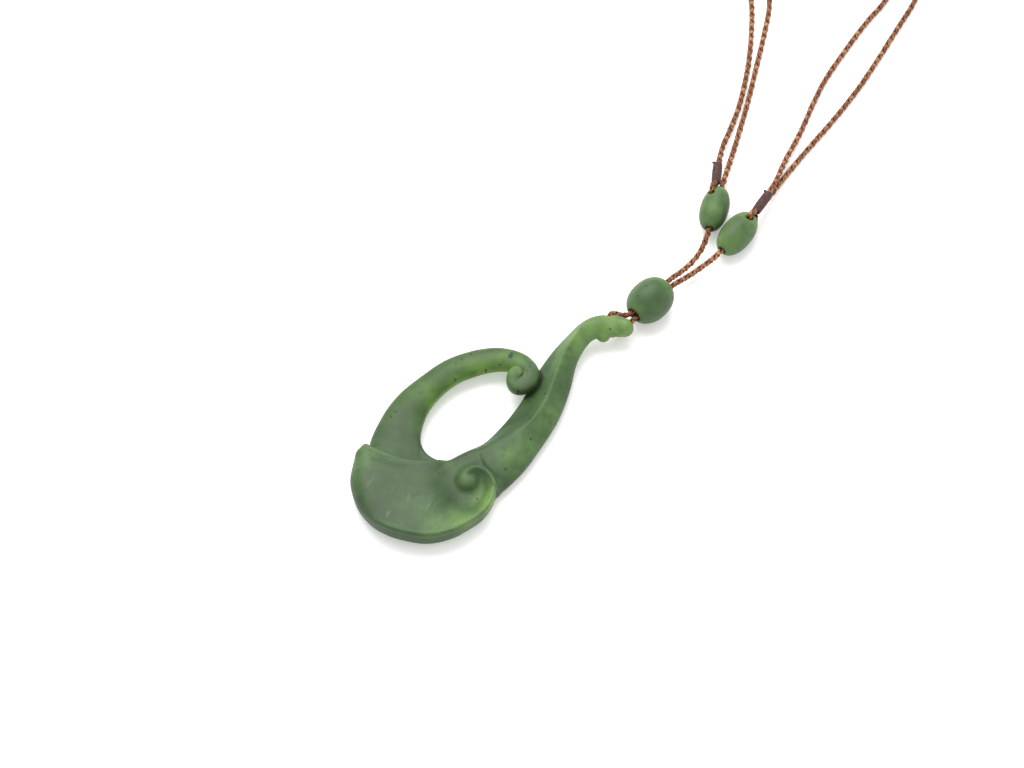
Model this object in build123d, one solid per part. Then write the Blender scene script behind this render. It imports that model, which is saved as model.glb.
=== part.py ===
from build123d import *
from math import copysign, cos, radians, sin, sqrt, tan
import os
import numpy as np

# A carved jade hook on a braided cord, lying face up. X is to the right and Y away from whoever looks down
# on it, +Z up, with the origin under the middle of the stone. Everything rests on the plane z = 0.

# Driving sizes of the carved stone, millimetres
LENGTH = 87.0              # bowl to crown, along the hook's own axis
WIDTH = 40.0               # arm to bowl rim, across it
BOWL_THICK = 7.4
SHANK_THICK = 6.4
ARM_THICK = 4.6
ARM_LIFT = 1.6             # underside of the arm above the rest, half way up
HEAD_LIFT = 3.0            # underside of the head above the rest
UNDERCUT = 3.2             # how far the bowl's wall turns in at its foot
UNDERCUT_HEIGHT = 4.6
RIM_EASE = 0.8             # rounding of the bowl's crisp edge
ROLL_REACH = 4.6           # its left edge is rolled over, from this far in
ROLL_DROP = 3.4            # down by this much
EDGE_EASE = 0.9            # rounding of shank and arm
SHANK_BLEND = 2.0          # shank into the bowl's wall
BOWL_BLEND = 1.6           # shank's top into the bowl's top
NOTCH_BLEND = 0.3          # arm into the bowl's wall, outside
BAY_BLEND = 9.5            # the same, in the hook's bay
BULB_RADIUS = 2.2
DISH_DEPTH = 2.9           # hollow round the bulb
DISH_REACH = 4.5
DISH_LEAN = 2.5            # further reach of the hollow towards the rim
TOP_FALL = 1.8             # fall of the bowl's top towards the shank
KORU_DROP = 0.9            # fall of the small curl's band from crown to edge
KORU_EASE = 0.8
KORU_BLEND = 0.5
KNOB_RADIUS = 1.8          # small knob at the nape
KNOB_HEIGHT = 4.2
KNOB_BLEND = 0.4
CELL = 1.1                 # spacing of the facets
TURN = -43.0               # the stone's own axis from the view's, degrees

# Driving sizes of the beads and cord
TOGGLE_LENGTH = 13.1
TOGGLE_DIAMETER = 10.6
LEFT_LENGTH = 13.6
LEFT_DIAMETER = 7.4
RIGHT_LENGTH = 14.0
RIGHT_DIAMETER = 8.1
FULLNESS = 2.2             # power n of a bead's section |x|^n + r^n = 1, where 2 is an ellipse
CORD_DIAMETER = 1.5
EYE_DIAMETER = 1.2         # the strand is thinner where its end is seized into an eye
WHIP_DIAMETER = 2.6
WHIP_LENGTH = 8.4
BORE_PLAY = 0.2            # cord to bore, each side
WHIP_PLAY = 0.1            # cord to whipping, each side
STRAND_GAP = 0.1           # between the two strands in the toggle
MOUTH_EASE = 0.35          # flare of a bead's bore at its mouths
EYE_EASE = 0.2             # the same at its eye hole
EYE_PLAY = 0.15            # eye's strand to its hole, each side
WHIP_EASE = 0.4
BORE_OFFSET = 0.2          # side bead's bore, away from its eye hole
EYE_OFFSET = 1.75          # eye hole, from the bead's axis
LEFT_HOLE = 3.2            # eye hole, from the bead's middle towards its upper end
RIGHT_HOLE = 4.1
EYE_CLEAR = 0.05           # eye's strand above the bead at the hole
WHIP_GAP = 0.5             # whipping from the eye's ends
FLOOR_GAP = 0.05           # side bead or its eye above the rest
LEFT_NECK = (7.1, 1.4, 1.35)      # whipping's lower end: along the bead's bore, to its left and up
RIGHT_NECK = (7.1, -0.66, 2.1)
LEFT_ROLL = 0.0            # side bead, about its own axis, degrees
RIGHT_ROLL = -20.0
BORE_SLOPE = 45.0          # head's bore, from level, degrees
BORE_HEIGHT = 3.9          # head's bore at its middle
BORE_MEET = 0.4            # where the two strands meet in it
BORE_FAR = 2.75             # where the far strand turns as it leaves
BORE_NEAR = -1.0           # where the near strand turns as it leaves


# Heights that follow from the beads' sizes

def eye_top(length, diameter, hole):
    """Height of the eye's strand over the bead's middle where it turns down into the hole."""
    radius = diameter / 2 * (1 - (2 * hole / length) ** FULLNESS) ** (1 / FULLNESS)
    return sqrt(radius**2 - EYE_OFFSET**2) + EYE_DIAMETER / 2 + EYE_CLEAR


def side_up(diameter, top, sign, roll):
    """Underside of the strand in a side bead, with the bead or its eye just above the rest."""
    s, c = sin(radians(roll)), cos(radians(roll))
    lowest = max(diameter / 2, top * c - sign * EYE_OFFSET * s + EYE_DIAMETER / 2)
    return lowest + FLOOR_GAP - sign * BORE_OFFSET * s - CORD_DIAMETER / 2


LEFT_TOP = eye_top(LEFT_LENGTH, LEFT_DIAMETER, LEFT_HOLE)
RIGHT_TOP = eye_top(RIGHT_LENGTH, RIGHT_DIAMETER, RIGHT_HOLE)
LEFT_UP = side_up(LEFT_DIAMETER, LEFT_TOP, 1, LEFT_ROLL)
RIGHT_UP = side_up(RIGHT_DIAMETER, RIGHT_TOP, -1, RIGHT_ROLL)
TOGGLE_UP = (TOGGLE_DIAMETER - CORD_DIAMETER) / 2

# Tables of the carving. across is a share of WIDTH from the middle, along a share of LENGTH from the bowl,
# half a share of WIDTH; rise is a share of the lift, thick of the thickness, and crest where the ridge runs,
# from -1 to 1.
SHANK = [
    # across, along, half, rise, thick, crest
    (0.170, 0.200, 0.120, 0.00, 0.80, -0.60),
    (0.235, 0.300, 0.188, 0.00, 0.84, -0.60),
    (0.279, 0.400, 0.164, 0.00, 0.90, -0.45),
    (0.264, 0.495, 0.147, 0.00, 0.97, -0.05),
    (0.222, 0.595, 0.136, 0.05, 1.00, 0.16),
    (0.150, 0.684, 0.124, 0.15, 1.00, 0.13),
    (0.083, 0.765, 0.094, 0.36, 0.95, 0.02),
    (0.056, 0.828, 0.076, 0.58, 0.90, -0.10),
    (0.054, 0.878, 0.071, 0.78, 0.84, -0.30),
    (0.090, 0.919, 0.075, 0.92, 0.80, -0.30),
    (0.155, 0.948, 0.076, 1.00, 0.80, 0.00),
    (0.218, 0.965, 0.060, 1.00, 0.80, 0.00),
]
ARM = [
    # across, along, half, rise, thick
    (-0.030, 0.150, 0.150, 0.00, 1.00),
    (-0.225, 0.212, 0.160, 0.25, 1.02),
    (-0.328, 0.285, 0.138, 0.50, 1.05),
    (-0.385, 0.362, 0.115, 0.70, 1.05),
    (-0.394, 0.446, 0.096, 0.85, 1.00),
    (-0.372, 0.522, 0.092, 0.95, 0.98),
    (-0.315, 0.584, 0.090, 1.00, 0.96),
    (-0.245, 0.630, 0.086, 1.10, 0.96),
    (-0.170, 0.657, 0.080, 1.30, 0.98),
    (-0.088, 0.669, 0.076, 1.55, 1.00),
    (-0.020, 0.667, 0.071, 1.75, 1.00),
]
CURL = [
    # across, along, half, rise, thick
    (-0.088, 0.669, 0.076, 1.55, 1.00),
    (-0.027, 0.667, 0.071, 1.75, 1.02),
    (0.018, 0.657, 0.066, 1.95, 1.02),
    (0.040, 0.638, 0.064, 2.05, 0.98),
    (0.038, 0.617, 0.061, 2.10, 0.96),
    (0.023, 0.607, 0.057, 2.10, 0.95),
    (0.000, 0.607, 0.054, 2.15, 0.97),
    (-0.023, 0.617, 0.055, 2.20, 1.00),
    (-0.027, 0.629, 0.058, 2.20, 1.04),
]
BOWL = [
    # across, along
    (-0.403, 0.179), (-0.400, 0.160), (-0.383, 0.134), (-0.353, 0.106), (-0.280, 0.060),
    (-0.190, 0.030), (-0.100, 0.010), (-0.007, 0.002), (0.074, 0.003), (0.165, 0.014),
    (0.256, 0.034), (0.343, 0.060), (0.408, 0.094), (0.455, 0.135), (0.478, 0.174),
    (0.495, 0.217), (0.491, 0.251), (0.470, 0.285), (0.430, 0.315), (0.385, 0.333),
    (0.330, 0.343), (0.275, 0.346), (0.205, 0.355), (0.135, 0.367), (0.097, 0.328),
    (0.070, 0.299), (0.018, 0.270), (-0.038, 0.241), (-0.110, 0.215), (-0.185, 0.196), (-0.262, 0.182),
    (-0.330, 0.174), (-0.372, 0.171),
]
KORU = [
    # across, along, half
    (0.413, 0.319, 0.013),
    (0.355, 0.333, 0.018),
    (0.294, 0.336, 0.023),
    (0.244, 0.328, 0.026),
    (0.222, 0.312, 0.029),
    (0.219, 0.296, 0.036),
    (0.236, 0.284, 0.048),
    (0.257, 0.281, 0.058),
]

KNOB_PLACE = (0.143, 0.911)
HEAD_EYE = (0.130, 0.9425)

# Routes of the two strands, in millimetres: to the right of the head's bore, away from it, and up from the
# rest to the strand's underside. Each goes from the head through the toggle and its own side bead, round
# the neck, and back to the other side bead.
FAR_LEG = [(1.6, 3.85, 4.85), (3.8, 3.6, 4.5)]
NEAR_LEG = [(0.8, -0.75, 0.9), (2.6, 0.5, 0.2), (4.6, 1.2, 1.7)]
TOGGLE_RUN = [(5.8, 2.4, TOGGLE_UP), (15.4, 12.6, TOGGLE_UP)]
LEFT_LEG = [(20.3, 18.4, 3.05), (23.9, 23.7, 2.15)]
LEFT_SIDE_RUN = [(25.9, 28.1, LEFT_UP), (30.6, 45.2, LEFT_UP)]
LEFT_INNER = [
    (33.0, 54.0, 1.15), (34.9, 61.0, 0), (37.8, 71.2, 0), (40.7, 83.3, 0), (43.9, 97.0, 0), (46.4, 109.0, 0),
]
INNER_RING = [
    (44.5, 118, 0), (37, 127, 0), (23, 132.5, 0), (5, 133, 0), (-11, 134.5, 0), (-23.5, 140.5, 0),
    (-28.3, 149.5, 0), (-23, 160, 0), (-8, 170, 0), (13, 176, 0), (36, 177, 0), (57, 172.5, 0),
    (73.5, 163.5, 0), (84, 151, 0), (87.8, 137, 0), (86, 124, 0),
]
RIGHT_INNER = [
    (78, 109, 0), (71.5, 101, 0), (64.9, 90.5, 0), (59.3, 81.4, 0), (55.4, 72.4, 0), (51.6, 62.8, 0),
    (47.2, 53.8, 1.0), (44.0, 44.2, 3.3),
]
RIGHT_LEG = [(20.2, 16.0, 2.25), (24.6, 19.9, 1.75)]
RIGHT_SIDE_RUN = [(28.3, 22.1, RIGHT_UP), (38.7, 36.1, RIGHT_UP)]
RIGHT_OUTER = [
    (42.0, 41.0, 1.3), (46.3, 48.3, 0), (53.5, 58.3, 0), (61.0, 68.0, 0), (68.0, 78.0, 0), (74.3, 88.6, 0),
    (80.4, 99.6, 0), (86, 109, 0),
]
OUTER_RING = [
    (90.5, 122, 0), (92.5, 137, 0), (88.5, 153, 0), (77, 167, 0), (59, 177, 0), (36, 181.5, 0),
    (12, 180.5, 0), (-10, 174.5, 0), (-27, 163, 0), (-33, 150, 0), (-28, 137, 0), (-13, 131, 0),
    (4, 129, 0), (21, 128.3, 0), (33, 123.5, 0), (39.5, 116.5, 0),
]
LEFT_OUTER = [
    (41.2, 109, 0), (40.4, 96, 0), (38.8, 84, 0), (36.1, 72.5, 0), (33.4, 64.6, 0.3), (30.0, 55.8, 1.6),
]


# Functions of the carving

def smooth_path(points, steps, closed=False):
    """Catmull-Rom curve through the rows of points, with a number of steps in each span."""
    p = np.asarray(points, float)
    if closed:
        q = np.vstack([p[-1:], p, p[:2]])
    else:
        q = np.vstack([2 * p[0] - p[1], p, 2 * p[-1] - p[-2]])
    t = np.linspace(0, 1, steps, endpoint=False)[None, :, None]
    a, b, c, d = q[:-3, None], q[1:-2, None], q[2:-1, None], q[3:, None]
    run = b + (c - a) * t / 2 + (2 * a - 5 * b + 4 * c - d) * t**2 / 2 + (3 * b - a - 3 * c + d) * t**3 / 2
    run = run.reshape(-1, p.shape[1])
    return run if closed else np.vstack([run, p[-1:]])


def soft_min(a, b, r):
    """The lesser of two fields, rounded over a width r where they are close."""
    h = np.clip(0.5 + 0.5 * (b - a) / r, 0, 1)
    return b * (1 - h) + a * h - r * h * (1 - h)


def soft_max(a, b, r):
    """The greater of two fields, rounded over a width r where they are close."""
    return -soft_min(-a, -b, r)


def smooth_step(a, b, v):
    """0 at a, 1 at b, with no corner between."""
    t = np.clip((v - a) / (b - a), 0, 1)
    return t * t * (3 - 2 * t)


def band(x, y, table, steps=16):
    """Depth of each point in the discs along a band, its side from -1 to 1, and the table's columns there."""
    path = smooth_path(table, steps)
    cx, cy, half = path[:, 0] * WIDTH, path[:, 1] * LENGTH, path[:, 2] * WIDTH
    gap = np.hypot(x[..., None] - cx, y[..., None] - cy)
    best = np.argmax(half - gap, axis=-1)
    tangent = np.gradient(np.stack([cx, cy], 1), axis=0)
    tangent /= np.linalg.norm(tangent, axis=1)[:, None]
    reach = np.take_along_axis(gap, best[..., None], -1)[..., 0]
    hand = np.sign((x - cx[best]) * tangent[best, 1] - (y - cy[best]) * tangent[best, 0])
    return half[best] - reach, np.clip(hand * reach / half[best], -1, 1), path[best, 3:]


def outline_depth(x, y, points):
    """Distance inside a closed curve, negative outside it."""
    p = smooth_path(points, 10, closed=True) * (WIDTH, LENGTH)
    q = np.roll(p, -1, axis=0)
    e = q - p
    px, py = x[..., None] - p[:, 0], y[..., None] - p[:, 1]
    t = np.clip((px * e[:, 0] + py * e[:, 1]) / (e**2).sum(1), 0, 1)
    gap = np.sqrt(((px - t * e[:, 0]) ** 2 + (py - t * e[:, 1]) ** 2).min(-1))
    rising = (p[:, 1] > y[..., None]) != (q[:, 1] > y[..., None])
    slope = e[:, 0] / np.where(e[:, 1] == 0, 1, e[:, 1])
    crossings = (rising & (px < slope * py)).sum(-1)
    return np.where(crossings % 2 == 1, gap, -gap)


def shank(x, y):
    """Depth, top and underside of the ridged shank: two flanks that meet at the crest, domed at the head."""
    depth, side, columns = band(x, y, SHANK)
    rise, thick, crest = columns[..., 0], columns[..., 1], columns[..., 2]
    low, full = rise * HEAD_LIFT, thick * SHANK_THICK
    left = np.clip((side + 1) / (crest + 1), 0, 1) ** 1.4
    right = np.clip((1 - side) / (1 - crest), 0, 1) ** 0.8
    head = smooth_step(0.84, 0.92, y / LENGTH)
    dull = 0.35 + 0.75 * smooth_step(0.56, 0.42, y / LENGTH) + 0.55 * smooth_step(0.74, 0.84, y / LENGTH)
    ridge = soft_min(left, right, dull) / (1 - dull / 4)
    crown = ridge * (1 - head) + head * (1 - side**2) ** 0.6
    scoop = 0.20 * np.exp(-(((x / WIDTH - 0.16) / 0.075) ** 2) - ((y / LENGTH - 0.938) / 0.030) ** 2)
    return depth, low + full * (0.50 + 0.50 * crown - scoop), low + 0.30 * full * side**2


def arm(x, y, table):
    """Depth, top, underside and side of the arm or its curl, a domed band, thick in the bay and the curl."""
    depth, side, columns = band(x, y, table)
    rise, full = columns[..., 0], columns[..., 1] * ARM_THICK
    low = rise * ARM_LIFT
    edge = 0.60 + 0.30 * smooth_step(0.36, 0.26, y / LENGTH) * smooth_step(-0.2, 0.6, side)
    edge = edge + 0.24 * smooth_step(1.75, 2.10, rise)
    return depth, low + full * (edge + (1 - edge) * (1 - side**2) ** 0.7), low + 0.30 * full * side**2, side


def bowl(x, y):
    """Depth and top of the bowl, hollowed round the bulb."""
    u, v = x / WIDTH, y / LENGTH
    depth = outline_depth(x, y, BOWL)
    bx, by = KORU[-1][0] * WIDTH, KORU[-1][1] * LENGTH
    away = np.clip(np.hypot(x - bx, y - by) - BULB_RADIUS, 0, None)
    lean = smooth_step(-0.075, 0.075, (x - bx) / WIDTH)
    dish = DISH_DEPTH * np.exp(-((away / (DISH_REACH + DISH_LEAN * lean)) ** 2))
    guard = np.maximum(smooth_step(0.0, 0.1, depth / WIDTH), smooth_step(0.26, 0.14, u))
    fall = TOP_FALL * smooth_step(0.25, 0.35, v) * smooth_step(0.26, 0.10, u)
    inner = smooth_step(-0.004, -0.050, v - 0.173 - 0.266 * (u + 0.31))
    soft = smooth_step(0.16, -0.22, u) * np.maximum(inner, smooth_step(-0.36, -0.40, u))
    edge = np.clip(1 - depth / ROLL_REACH, 0, 1)
    roll = ROLL_DROP * soft * (1 - np.sqrt(1 - edge**2))
    return depth, BOWL_THICK * (0.88 + 0.12 * smooth_step(0.28, 0.05, v)) - fall - dish * guard - roll


def stone_field(x, y, z):
    """Positive inside the stone: the union of bowl, shank, arm and curls above the flat back."""
    def between(top, bottom):
        return soft_min(top[..., None] - z, z - bottom[..., None], EDGE_EASE)

    depth, top = bowl(x, y)
    wall = depth[..., None] - UNDERCUT * np.clip(1 - z / UNDERCUT_HEIGHT, 0, None) ** 2
    body = soft_min(wall, top[..., None] - z, RIM_EASE)
    depth, side, _ = band(x, y, KORU)
    koru_top = 0.90 * BOWL_THICK - KORU_DROP * side**2
    body = soft_max(body, soft_min(depth[..., None], koru_top[..., None] - z, KORU_EASE), KORU_BLEND)
    depth, top, bottom = shank(x, y)
    piece = soft_min(soft_max(depth[..., None], wall, SHANK_BLEND), between(top, bottom), EDGE_EASE)
    body = soft_max(piece, body, BOWL_BLEND)
    depth, top, bottom, side = arm(x, y, ARM)
    blend = NOTCH_BLEND + (BAY_BLEND - NOTCH_BLEND) * smooth_step(-0.2, 0.5, side)
    piece = soft_min(soft_max(depth[..., None], wall, blend[..., None]), between(top, bottom), EDGE_EASE)
    body = np.maximum(body, piece)
    depth, top, bottom, side = arm(x, y, CURL)
    body = np.maximum(body, soft_min(depth[..., None], between(top, bottom), EDGE_EASE))
    away = np.hypot(x - KNOB_PLACE[0] * WIDTH, y - KNOB_PLACE[1] * LENGTH)
    body = soft_max(body, KNOB_RADIUS - np.hypot(away[..., None], z - KNOB_HEIGHT), KNOB_BLEND)
    return np.minimum(body, z)


def close_pinches(field):
    """Fill the nearer outside corner of each grid face whose corners alternate: no edge is shared twice."""
    while True:
        pinches = 0
        for axis in range(3):
            g = np.moveaxis(field, axis, 0)
            a, b, c, d = g[:, :-1, :-1], g[:, :-1, 1:], g[:, 1:, :-1], g[:, 1:, 1:]
            for inner, outer in (((a, d), (b, c)), ((b, c), (a, d))):
                pinch = (inner[0] > 0) & (inner[1] > 0) & (outer[0] <= 0) & (outer[1] <= 0)
                nearer = outer[0] >= outer[1]
                outer[0][pinch & nearer] = 0.01
                outer[1][pinch & ~nearer] = 0.01
                pinches += pinch.sum()
        if pinches == 0:
            return field


def surface_nets(field, xs, ys, zs):
    """One corner in each cell that the surface crosses, and one quad round each grid edge that it crosses."""
    inside = field > 0
    shape = np.array(field.shape)
    corners = [np.array((i, j, k)) for i in (0, 1) for j in (0, 1) for k in (0, 1)]
    crop = lambda c: tuple(slice(o, n - 1 + o) for o, n in zip(c, shape))
    count = sum(inside[crop(c)].astype(int) for c in corners)
    mixed = (count > 0) & (count < 8)
    index = np.full(mixed.shape, -1)
    index[mixed] = np.arange(mixed.sum())
    cells = np.argwhere(mixed)
    place = lambda c: np.stack([xs[cells[:, 0] + c[0]], ys[cells[:, 1] + c[1]], zs[cells[:, 2] + c[2]]], 1)
    total, hits = np.zeros((len(cells), 3)), np.zeros(len(cells))
    for a in corners:
        for b in corners:
            if (b - a).min() < 0 or (b - a).sum() != 1:
                continue
            fa, fb = field[tuple((cells + a).T)], field[tuple((cells + b).T)]
            cross = (fa > 0) != (fb > 0)
            share = np.where(cross, fa / np.where(cross, fa - fb, 1), 0)[:, None]
            total += cross[:, None] * (place(a) + (place(b) - place(a)) * share)
            hits += cross
    quads = []
    for axis in range(3):
        near = [slice(1, n - 1) for n in shape]
        near[axis] = slice(0, shape[axis] - 1)
        far = list(near)
        far[axis] = slice(1, shape[axis])
        first, second = inside[tuple(near)], inside[tuple(far)]
        u, v = (axis + 1) % 3, (axis + 2) % 3
        for edges, ring in ((first & ~second, (3, 1, 0, 2)), (~first & second, (2, 0, 1, 3))):
            at = np.argwhere(edges) + [s.start for s in near]
            steps = np.zeros((4, 3), int)
            steps[[2, 3], u] = 1
            steps[[1, 3], v] = 1
            quads.append(np.stack([index[tuple((at - steps[k]).T)] for k in ring], 1))
    return total / hits[:, None], np.vstack(quads)


def facet_solid(corners, triangles, strip=10.0):
    """A solid of triangles, sewn strip by strip along Y and then together."""
    points = [Vector(*p) for p in corners]
    faces = [Face(Wire.make_polygon([points[i] for i in t])) for t in triangles]
    strips = np.floor(corners[triangles][:, :, 1].mean(1) / strip)
    quilt = []
    for s in np.unique(strips):
        for group in Face.sew_faces([faces[i] for i in np.flatnonzero(strips == s)]):
            quilt += group
    return Solid(Shell(quilt))



# Functions of the cord and beads

def placed(points):
    """Points of a route as the places of the strand's middle."""
    return [anchor + Vector(x, y, up + CORD_DIAMETER / 2) for x, y, up in points]


def bore_point(away):
    """A place on the head's bore."""
    return anchor + Vector(0, away, BORE_HEIGHT + away * tan(radians(BORE_SLOPE)))


def strands(run, sign):
    """The run of one strand through the toggle, half the strands' spacing up and aside from the middle."""
    start, end = run
    aside = Vector(0, 0, 1).cross(end - start).normalized()
    step = (aside + Vector(0, 0, 1)).normalized() * (sign * (CORD_DIAMETER + STRAND_GAP) / 2)
    return [start + step, end + step]


def threaded(run, aside=0.0, roll=0.0):
    """A place at the middle of a run: X along it, Y to its left, rolled about X and then moved along Y."""
    start, end = run
    along = (end - start).normalized()
    left = Vector(0, 0, 1).cross(along).normalized()
    frame = Plane(origin=(start + end) / 2, x_dir=along, z_dir=along.cross(left))
    return frame.location * Rot(X=roll) * Pos(0, aside, 0)


def tube(name, points, diameter):
    """A round strand of straight runs and tangent arcs, each arc as large as its two runs allow."""
    radii = []
    for a, b, c in zip(points, points[1:], points[2:]):
        turn = (b - a).get_angle(c - b)
        radii.append(0.45 * min((b - a).length, (c - b).length) / tan(radians(turn) / 2))
    path = FilletPolyline(*points, radius=radii)
    strand = sweep(Plane(path @ 0, z_dir=path % 0) * Circle(diameter / 2), path=path)
    share = strand.volume / (path.length * diameter**2 * radians(45))
    print(name, "length", round(path.length, 1), "volume over section times length", round(share, 4))
    print("   radii", [round(r, 1) for r in radii])
    return strand


def full_ellipsoid(length, diameter):
    """A bead before it is drilled, lengthwise along X, a little fuller than an ellipsoid."""
    half, radius, power = length / 2, diameter / 2, 2 / FULLNESS
    turns = [radians(7.5 * k) for k in range(1, 24)]
    middle = [(half * copysign(abs(cos(t)) ** power, cos(t)), radius * sin(t) ** power) for t in turns]
    places = [(half, 0), *middle, (-half, 0)]
    upper = Spline(*places, tangents=[(0, 1), (0, -1)])
    return revolve(make_face([upper, Line(places[-1], places[0])]), Axis.X)


def mouth(radius, aside, length, diameter):
    """How far along X a bead's surface is where a hole's edge leaves it."""
    return length / 2 * (1 - (2 * (radius + aside) / diameter) ** FULLNESS) ** (1 / FULLNESS)


def flared_hole(radius, reach, ease):
    """A round hole along Z, opening at 45 degrees by ease where it leaves the body, reach from the middle."""
    flare = Pos(0, 0, reach + ease) * Cone(radius, radius + 4 * ease, 4 * ease)
    return Cylinder(radius, 4 * reach) + flare + Rot(X=180) * flare


def side_bead(place, sign, length, diameter, at, top):
    """A long bead, its bore moved off the middle to leave room for the eye hole on the side given by sign."""
    radius = CORD_DIAMETER / 2 + BORE_PLAY
    reach = mouth(radius, BORE_OFFSET, length, diameter)
    bore = Pos(0, -sign * BORE_OFFSET) * Rot(Y=90) * flared_hole(radius, reach, MOUTH_EASE)
    hole = flared_hole(EYE_DIAMETER / 2 + EYE_PLAY, top - EYE_DIAMETER / 2, EYE_EASE)
    return place * (full_ellipsoid(length, diameter) - bore - Pos(at, sign * EYE_OFFSET) * hole)


def eye(name, place, level, sign, hole, top, neck):
    """A loop of thinner strand up and down through the eye hole, from over the whipping's end to under it."""
    reach, aside, lift = neck
    y, under = sign * EYE_OFFSET, lift - (WHIP_DIAMETER + EYE_DIAMETER) / 2 - 2 * EYE_CLEAR
    start = [(reach - WHIP_GAP, aside + sign * 0.1, lift + 0.85)]
    loop = [(hole + 1.8, y + sign * 0.3, 0.95 * top), (hole, y, top), (hole, y, -top)]
    loop.append((hole + 1.9, 0.7 * y, -0.97 * top))
    end = [(reach + 0.3, aside + sign * 0.6, under - 1.3), (reach + 0.4, aside + sign * 0.6, under)]
    rows = [(level, start), (place, loop), (level, end)]
    return tube(name, [(axes * Pos(*point)).position for axes, row in rows for point in row], EYE_DIAMETER)


def whipping(before, end):
    """A sleeve of wound thread over the last of a strand."""
    bore = CORD_DIAMETER / 2 + WHIP_PLAY
    wall = WHIP_DIAMETER / 2 - bore
    profile = Pos(WHIP_LENGTH / 2, bore + wall / 2) * Rectangle(WHIP_LENGTH, wall)
    profile = fillet(profile.vertices().group_by(Axis.Y)[-1], WHIP_EASE)
    along = (before - end).normalized()
    left = Vector(0, 0, 1).cross(along).normalized()
    return Plane(origin=end, x_dir=along, z_dir=along.cross(left)).location * revolve(profile, Axis.X)


# The stone

os.makedirs("parts", exist_ok=True)
xs = np.arange(-0.55 * WIDTH, 0.55 * WIDTH + CELL, CELL)
ys = np.arange(-0.03 * LENGTH, 1.02 * LENGTH + CELL, CELL)
tallest = max(BOWL_THICK, HEAD_LIFT + SHANK_THICK, 2.2 * ARM_LIFT + 1.1 * ARM_THICK)
zs = np.arange(-CELL / 2, tallest + 2 * CELL, CELL)
grid_x, grid_y = np.meshgrid(xs, ys, indexing="ij")
corners, quads = surface_nets(close_pinches(stone_field(grid_x, grid_y, zs)), xs, ys, zs)
c, s = cos(radians(TURN)), sin(radians(TURN))
turned = corners[:, :2] @ [[c, s], [-s, c]]
middle = (turned.min(0) + turned.max(0)) / 2
corners[:, :2] = turned - middle
stone = facet_solid(corners, np.vstack([quads[:, [0, 1, 2]], quads[:, [0, 2, 3]]]))
print("stone:", 2 * len(quads), "facets, volume", round(stone.volume, 1), "valid", stone.is_valid)

head_x, head_y = HEAD_EYE[0] * WIDTH, HEAD_EYE[1] * LENGTH
anchor = Vector(
    head_x * c - head_y * s - middle[0],
    head_x * s + head_y * c - middle[1],
)
print("head's bore is at", anchor)
head_bore = Cylinder(CORD_DIAMETER / 2 + BORE_PLAY, 4 * SHANK_THICK)
hook_pendant = stone - Pos(bore_point(0)) * Rot(X=BORE_SLOPE - 90) * head_bore

# The beads on their runs of cord

toggle_run = placed(TOGGLE_RUN)
toggle_radius = CORD_DIAMETER + STRAND_GAP / 2 + BORE_PLAY
toggle_reach = mouth(toggle_radius, 0, TOGGLE_LENGTH, TOGGLE_DIAMETER)
toggle_bore = Rot(Y=90) * flared_hole(toggle_radius, toggle_reach, MOUTH_EASE)
toggle_bead = threaded(toggle_run) * (full_ellipsoid(TOGGLE_LENGTH, TOGGLE_DIAMETER) - toggle_bore)
left_run, right_run = placed(LEFT_SIDE_RUN), placed(RIGHT_SIDE_RUN)
left_place = threaded(left_run, BORE_OFFSET, LEFT_ROLL)
right_place = threaded(right_run, -BORE_OFFSET, RIGHT_ROLL)
left_level = Pos(left_place.position) * Rot(threaded(left_run).orientation)
right_level = Pos(right_place.position) * Rot(threaded(right_run).orientation)
left_neck, right_neck = (left_level * Pos(*LEFT_NECK)).position, (right_level * Pos(*RIGHT_NECK)).position

# The strands, from the head to the neck of the other strand's bead

left_route = [bore_point(BORE_MEET), bore_point(BORE_FAR)] + placed(FAR_LEG) + strands(toggle_run, 1)
left_route += placed(LEFT_LEG) + left_run + placed(LEFT_INNER + INNER_RING + RIGHT_INNER) + [right_neck]
right_route = [bore_point(BORE_MEET), bore_point(BORE_NEAR)] + placed(NEAR_LEG) + strands(toggle_run, -1)
right_route += placed(RIGHT_LEG) + right_run + placed(RIGHT_OUTER + OUTER_RING + LEFT_OUTER) + [left_neck]

left_bead = (LEFT_LENGTH, LEFT_DIAMETER, LEFT_HOLE, LEFT_TOP)
right_bead = (RIGHT_LENGTH, RIGHT_DIAMETER, RIGHT_HOLE, RIGHT_TOP)
pieces = {
    "hook_pendant": hook_pendant,
    "toggle_bead": toggle_bead,
    "side_bead_left": side_bead(left_place, 1, *left_bead),
    "side_bead_right": side_bead(right_place, -1, *right_bead),
    "cord_left": tube("cord_left", left_route, CORD_DIAMETER),
    "cord_right": tube("cord_right", right_route, CORD_DIAMETER),
    "eye_left": eye("eye_left", left_place, left_level, 1, LEFT_HOLE, LEFT_TOP, LEFT_NECK),
    "eye_right": eye("eye_right", right_place, right_level, -1, RIGHT_HOLE, RIGHT_TOP, RIGHT_NECK),
    "whipping_left": whipping(*right_route[-2:]),
    "whipping_right": whipping(*left_route[-2:]),
}
for name, piece in pieces.items():
    box = piece.bounding_box()
    print(name, "volume", round(piece.volume, 1), "from", box.min, "to", box.max)
    export_step(piece, f"parts/{name}.step")
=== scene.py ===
# %% [markdown]
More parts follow.
